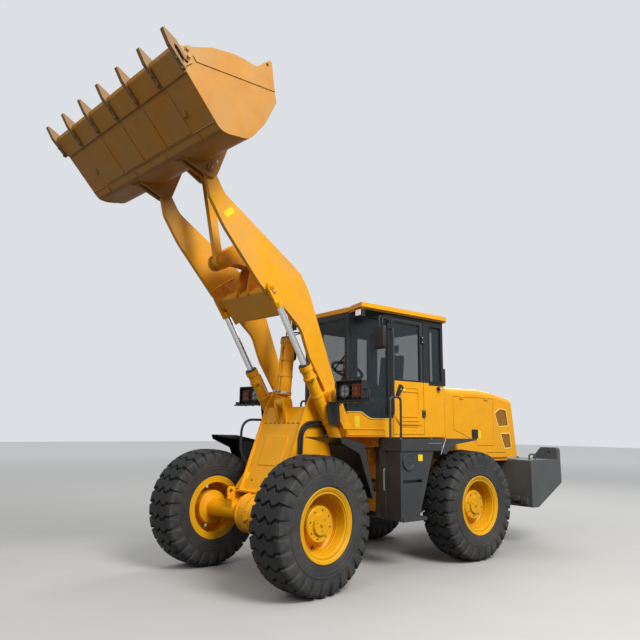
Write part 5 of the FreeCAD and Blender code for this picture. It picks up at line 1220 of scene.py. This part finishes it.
def platform_fittings():
    grip = Build(REAR)
    for side in (1, -1):
        for row in range(6):
            for column in range(15):
                x = -0.12 - column * 0.037
                y = 0.765 + row * 0.037
                turn = 1 if (row + column) % 2 else -1
                tip = Vector((0.014, 0.014 * turn))
                across = Vector((-tip.y, tip.x)) * 0.28
                points = [(x + v.x, side * (y + v.y)) for v in (tip, across, -tip, -across)]
                grip.prism(points, 1.4825, 1.4855, plane="xy")
    for side in (1, -1):
        for column in range(9):
            x = -0.15 - column * 0.04
            for y in (0.91, 0.94, 0.97):
                grip.rod((x, side * y, 0.588), (x, side * y, 0.594), 0.009, 8, 0.006)
    grip.piece("deck_grip", "rear_body", "dark_paint", smooth=0)

    # The two zinc rods on each side are thin bright beads drawn along the deck's side edges. The slanted one, on the
    # edge between deck slab and wing side, is a painted highlight. The bolts are real.
    edges = Build(REAR)
    for side in (1, -1):
        edges.rod((-0.56, side * 1.0, 1.432), (-0.80, side * 1.0, 1.432), 0.004, 8)
        edges.rod((-0.875, side * 0.999, 1.481), (-0.785, side * 0.999, 1.3), 0.0045, 8)
        for x in (-0.115, -0.655):
            edges.bolt((x, side * 0.96, 1.483), (0, 0, 1), 0.009)
    edges.piece("deck_edge_highlights_and_bolts", "rear_body", "zinc", smooth=60)

    cover = Build(REAR)
    for side in (1, -1):
        centre = (-0.216, side * 0.999, 1.222)
        cover.lathe([(-0.004, 0.0985), (0.002, 0.0985), (0.006, 0.094), (0.006, 0.078), (0.002, 0.074), (0.002, 0.0001)],
                    centre, (0, side, 0), 48)
        cover.prism(rectangle((-0.236, 1.12), (-0.196, 1.14), 0.006), *sorted((side * 0.985, side * 1.0)))
        cover.rod((-0.216, side * 1.0, 1.222), (-0.216, side * 1.006, 1.222), 0.016, 20)
        cover.prism(rectangle((-0.12, 0.57), (-0.074, 1.36), 0.01), *sorted((side * 0.655, side * 0.75)))
        cover.rod((-0.12, side * 0.984, 0.75), (-0.12, side * 0.99, 0.75), 0.02, 16)
        cover.rod((-0.3, side * 0.8, 0.553), (-0.3, side * 0.8, 0.535), 0.02, 6)
    cover.piece("tank_covers", "rear_body", "dark_paint")

    bars = Build(REAR)
    for side in (1, -1):
        bars.tube([(-0.072, side * 0.745, 1.131), (-0.05, side * 0.748, 1.131), (-0.05, side * 0.748, 0.891),
                   (-0.072, side * 0.745, 0.891)], 0.007, 10, 0.015)
    bars.piece("tank_grips", "rear_body", "zinc")


def weight_fittings():
    build = Build(REAR)
    holes = Build(REAR)
    for side in (1, -1):
        for y, z0, z1 in ((0.695, 0.61, 0.672), (0.83, 0.57, 0.66)):
            build.prism(rectangle((min(side * y, side * (y + 0.1)), z0), (max(side * y, side * (y + 0.1)), z1), 0.012),
                        -2.717, -2.69, plane="yz")
        # Thin dark iron sheets and a dark disc on the counterweight's face stand for the insides of its recesses:
        # painted shade in the holes.
        holes.prism(rectangle((min(side * 0.705, side * 0.8), 0.565), (max(side * 0.705, side * 0.8), 0.6), 0.012),
                    -2.717, -2.7145, plane="yz")
        holes.rod((-2.69, side * 0.88, 0.6), (-2.6885, side * 0.88, 0.6), 0.02, 16)
        build.tube([(-2.84, side * 0.9, 1.183), (-2.84, side * 0.9, 1.26), (-2.98, side * 0.9, 1.26),
                    (-2.98, side * 0.9, 1.183)], 0.014, 12, 0.03)
        for x in (-2.8, -3.3):
            build.bolt((x, side * 0.4, 1.185), (0, 0, 1), 0.022)
    build.piece("weight_eyes", "rear_body", "weight_paint")
    holes.piece("weight_hole_shade", "rear_body", "engine_iron")
    pin = Build(REAR)
    pin.rod((-3.41, 0, 0.87), (-3.41, 0, 1.2), 0.0195, 20)
    pin.tube([(-3.41, 0, 1.195), (-3.41, 0, 1.24), (-3.41, 0.08, 1.24), (-3.41, 0.08, 1.2)], 0.007, 8, 0.02)
    pin.piece("tow_pin", "rear_body", "zinc")


two_tone("door_left", REAR, "dark_paint", lambda p, n: p.z > 2.185)
two_tone("door_right", REAR, "dark_paint", lambda p, n: p.z > 2.185)
two_tone("door_left", REAR, "black_plastic", lambda p, n: abs(p.y) > 0.7205 or abs(p.y) < 0.709)
two_tone("door_right", REAR, "black_plastic", lambda p, n: abs(p.y) > 0.7205 or abs(p.y) < 0.709)
for name in ("lift_rod_left", "lift_rod_right"):
    two_tone(name, FRONT, "yellow_paint",
             lambda p, n: math.hypot(p.x - LIFT_ROD_PIN[0], p.z - LIFT_ROD_PIN[1]) < 0.255)
two_tone("tilt_rod", FRONT, "yellow_paint", lambda p, n: math.hypot(p.x - ROCKER_TOP_PIN[0], p.z - ROCKER_TOP_PIN[1]) < 0.07)
two_tone("cab_body", REAR, "trim",
         lambda p, n: p.z > 1.531 and (p.x + 0.45) * n.x + p.y * n.y < -0.2)
two_tone("cab_roof", REAR, "trim", lambda p, n: n.z < -0.9 and p.z < 3.03)
two_tone("headlamps", FRONT, "orange_lens", lambda p, n: p.x < 0.79 and 0.9 < abs(p.y) < 1.045 and 1.93 < p.z < 2.085)
two_tone("hoses", FRONT, "dark_paint", lambda p, n: abs(n.x) > 0.999 or abs(n.z) > 0.9999)

boom_fittings()
rocker_fittings()
bucket_fittings()
cylinder_fittings()
tower_fittings()
lamp_fittings()
hose_fittings()
axle_fittings()
wheel_fittings()
cab_outside()
mirror_pair()
door_fittings()
cab_inside()
seat()
hood_fittings()
platform_fittings()
weight_fittings()


# Stage, light and camera

def seen(tree):
    """1 for what the camera sees, straight or through glass or gloss, and 0 for the light that bounces."""
    rays = tree.nodes.new("ShaderNodeLightPath")
    value = rays.outputs["Is Camera Ray"]
    for name in ("Is Glossy Ray", "Is Transmission Ray"):
        most = tree.nodes.new("ShaderNodeMath")
        most.operation = "MAXIMUM"
        link(tree, value, most.inputs[0])
        link(tree, rays.outputs[name], most.inputs[1])
        value = most.outputs["Value"]
    return value


def paler_when_seen(material):
    """The floor looks pale and throws little light up on the machine."""
    tree = material.node_tree
    shader = tree.nodes["Principled BSDF"]
    below = shader.inputs["Base Color"].links[0].from_socket
    mix = tree.nodes.new("ShaderNodeMix")
    mix.data_type = "RGBA"
    link(tree, seen(tree), mix.inputs["Factor"])
    mix.inputs["A"].default_value = (0.06, 0.06, 0.057, 1)
    where = tree.nodes.new("ShaderNodeNewGeometry")
    away = tree.nodes.new("ShaderNodeVectorMath")
    away.operation = "LENGTH"
    link(tree, where.outputs["Position"], away.inputs[0])
    far = tree.nodes.new("ShaderNodeMapRange")
    far.inputs["From Min"].default_value = 5
    far.inputs["From Max"].default_value = 30
    link(tree, away.outputs["Value"], far.inputs["Value"])
    link(tree, mixed(tree, far.outputs["Result"], below, (0.8, 0.79, 0.77)), mix.inputs["B"])
    link(tree, mix.outputs["Result"], shader.inputs["Base Color"])


def ground():
    data = bpy.data.meshes.new("floor")
    build = bmesh.new()
    corners = [build.verts.new(p) for p in ((-60, -60, 0), (60, -60, 0), (60, 60, 0), (-60, 60, 0))]
    build.faces.new(corners)
    build.to_mesh(data)
    build.free()
    floor = bpy.data.objects.new("floor", data)
    bpy.context.scene.collection.objects.link(floor)
    paving = surface("paving", (0.42, 0.41, 0.39), 0.85, spread=0.03, scale=1.2, edge=0)
    paler_when_seen(paving)
    data.materials.append(paving)


def area(name, position, target, size, power, colour=(1, 1, 1)):
    data = bpy.data.lights.new(name, "AREA")
    data.shape = "DISK"
    data.size = size
    data.energy = power
    data.color = colour
    lamp = bpy.data.objects.new(name, data)
    bpy.context.scene.collection.objects.link(lamp)
    lamp.location = position
    lamp.rotation_euler = (Vector(target) - Vector(position)).to_track_quat("-Z", "Y").to_euler()


ground()
area("key", (1, 10, 10), (0, 0, 1.5), 6, 1900)
area("front", (11, 3, 8), (0, 0, 2), 6, 300)
area("back", (-9, -4, 9), (0, 0, 2), 6, 450)
world = bpy.data.worlds.new("studio")
bpy.context.scene.world = world
world.use_nodes = True
backdrop = world.node_tree.nodes["Background"]
backdrop.inputs["Color"].default_value = (0.9, 0.93, 0.97, 1)
sky = world.node_tree.nodes.new("ShaderNodeTexCoord")
height = world.node_tree.nodes.new("ShaderNodeSeparateXYZ")
link(world.node_tree, sky.outputs["Generated"], height.inputs["Vector"])
rise = world.node_tree.nodes.new("ShaderNodeMapRange")
rise.inputs["To Min"].default_value = 0.13
rise.inputs["To Max"].default_value = 1.0
link(world.node_tree, height.outputs["Z"], rise.inputs["Value"])
level = world.node_tree.nodes.new("ShaderNodeMapRange")
level.inputs["To Max"].default_value = 0.8
link(world.node_tree, seen(world.node_tree), level.inputs["Value"])
link(world.node_tree, rise.outputs["Result"], level.inputs["To Min"])
link(world.node_tree, level.outputs["Result"], backdrop.inputs["Strength"])

YAW, PITCH, ROLL = math.radians(231.5), math.radians(10.26), math.radians(0.658)
look = Vector((math.cos(YAW) * math.cos(PITCH), math.sin(YAW) * math.cos(PITCH), math.sin(PITCH)))
right = look.cross(Vector((0, 0, 1))).normalized()
top = right.cross(look)
level_right = right * math.cos(ROLL) + top * math.sin(ROLL)
level_top = top * math.cos(ROLL) - right * math.sin(ROLL)
camera_data = bpy.data.cameras.new("camera")
camera_data.sensor_width = 36
camera_data.lens = 33.83
camera = bpy.data.objects.new("camera", camera_data)
bpy.context.scene.collection.objects.link(camera)
turned = Matrix((level_right, level_top, -look)).transposed().to_4x4()
camera.matrix_world = Matrix.Translation(PIVOT + Vector((5.1, 5.978, 1.59))) @ turned
bpy.context.scene.camera = camera
bpy.context.scene.view_settings.view_transform = "Standard"
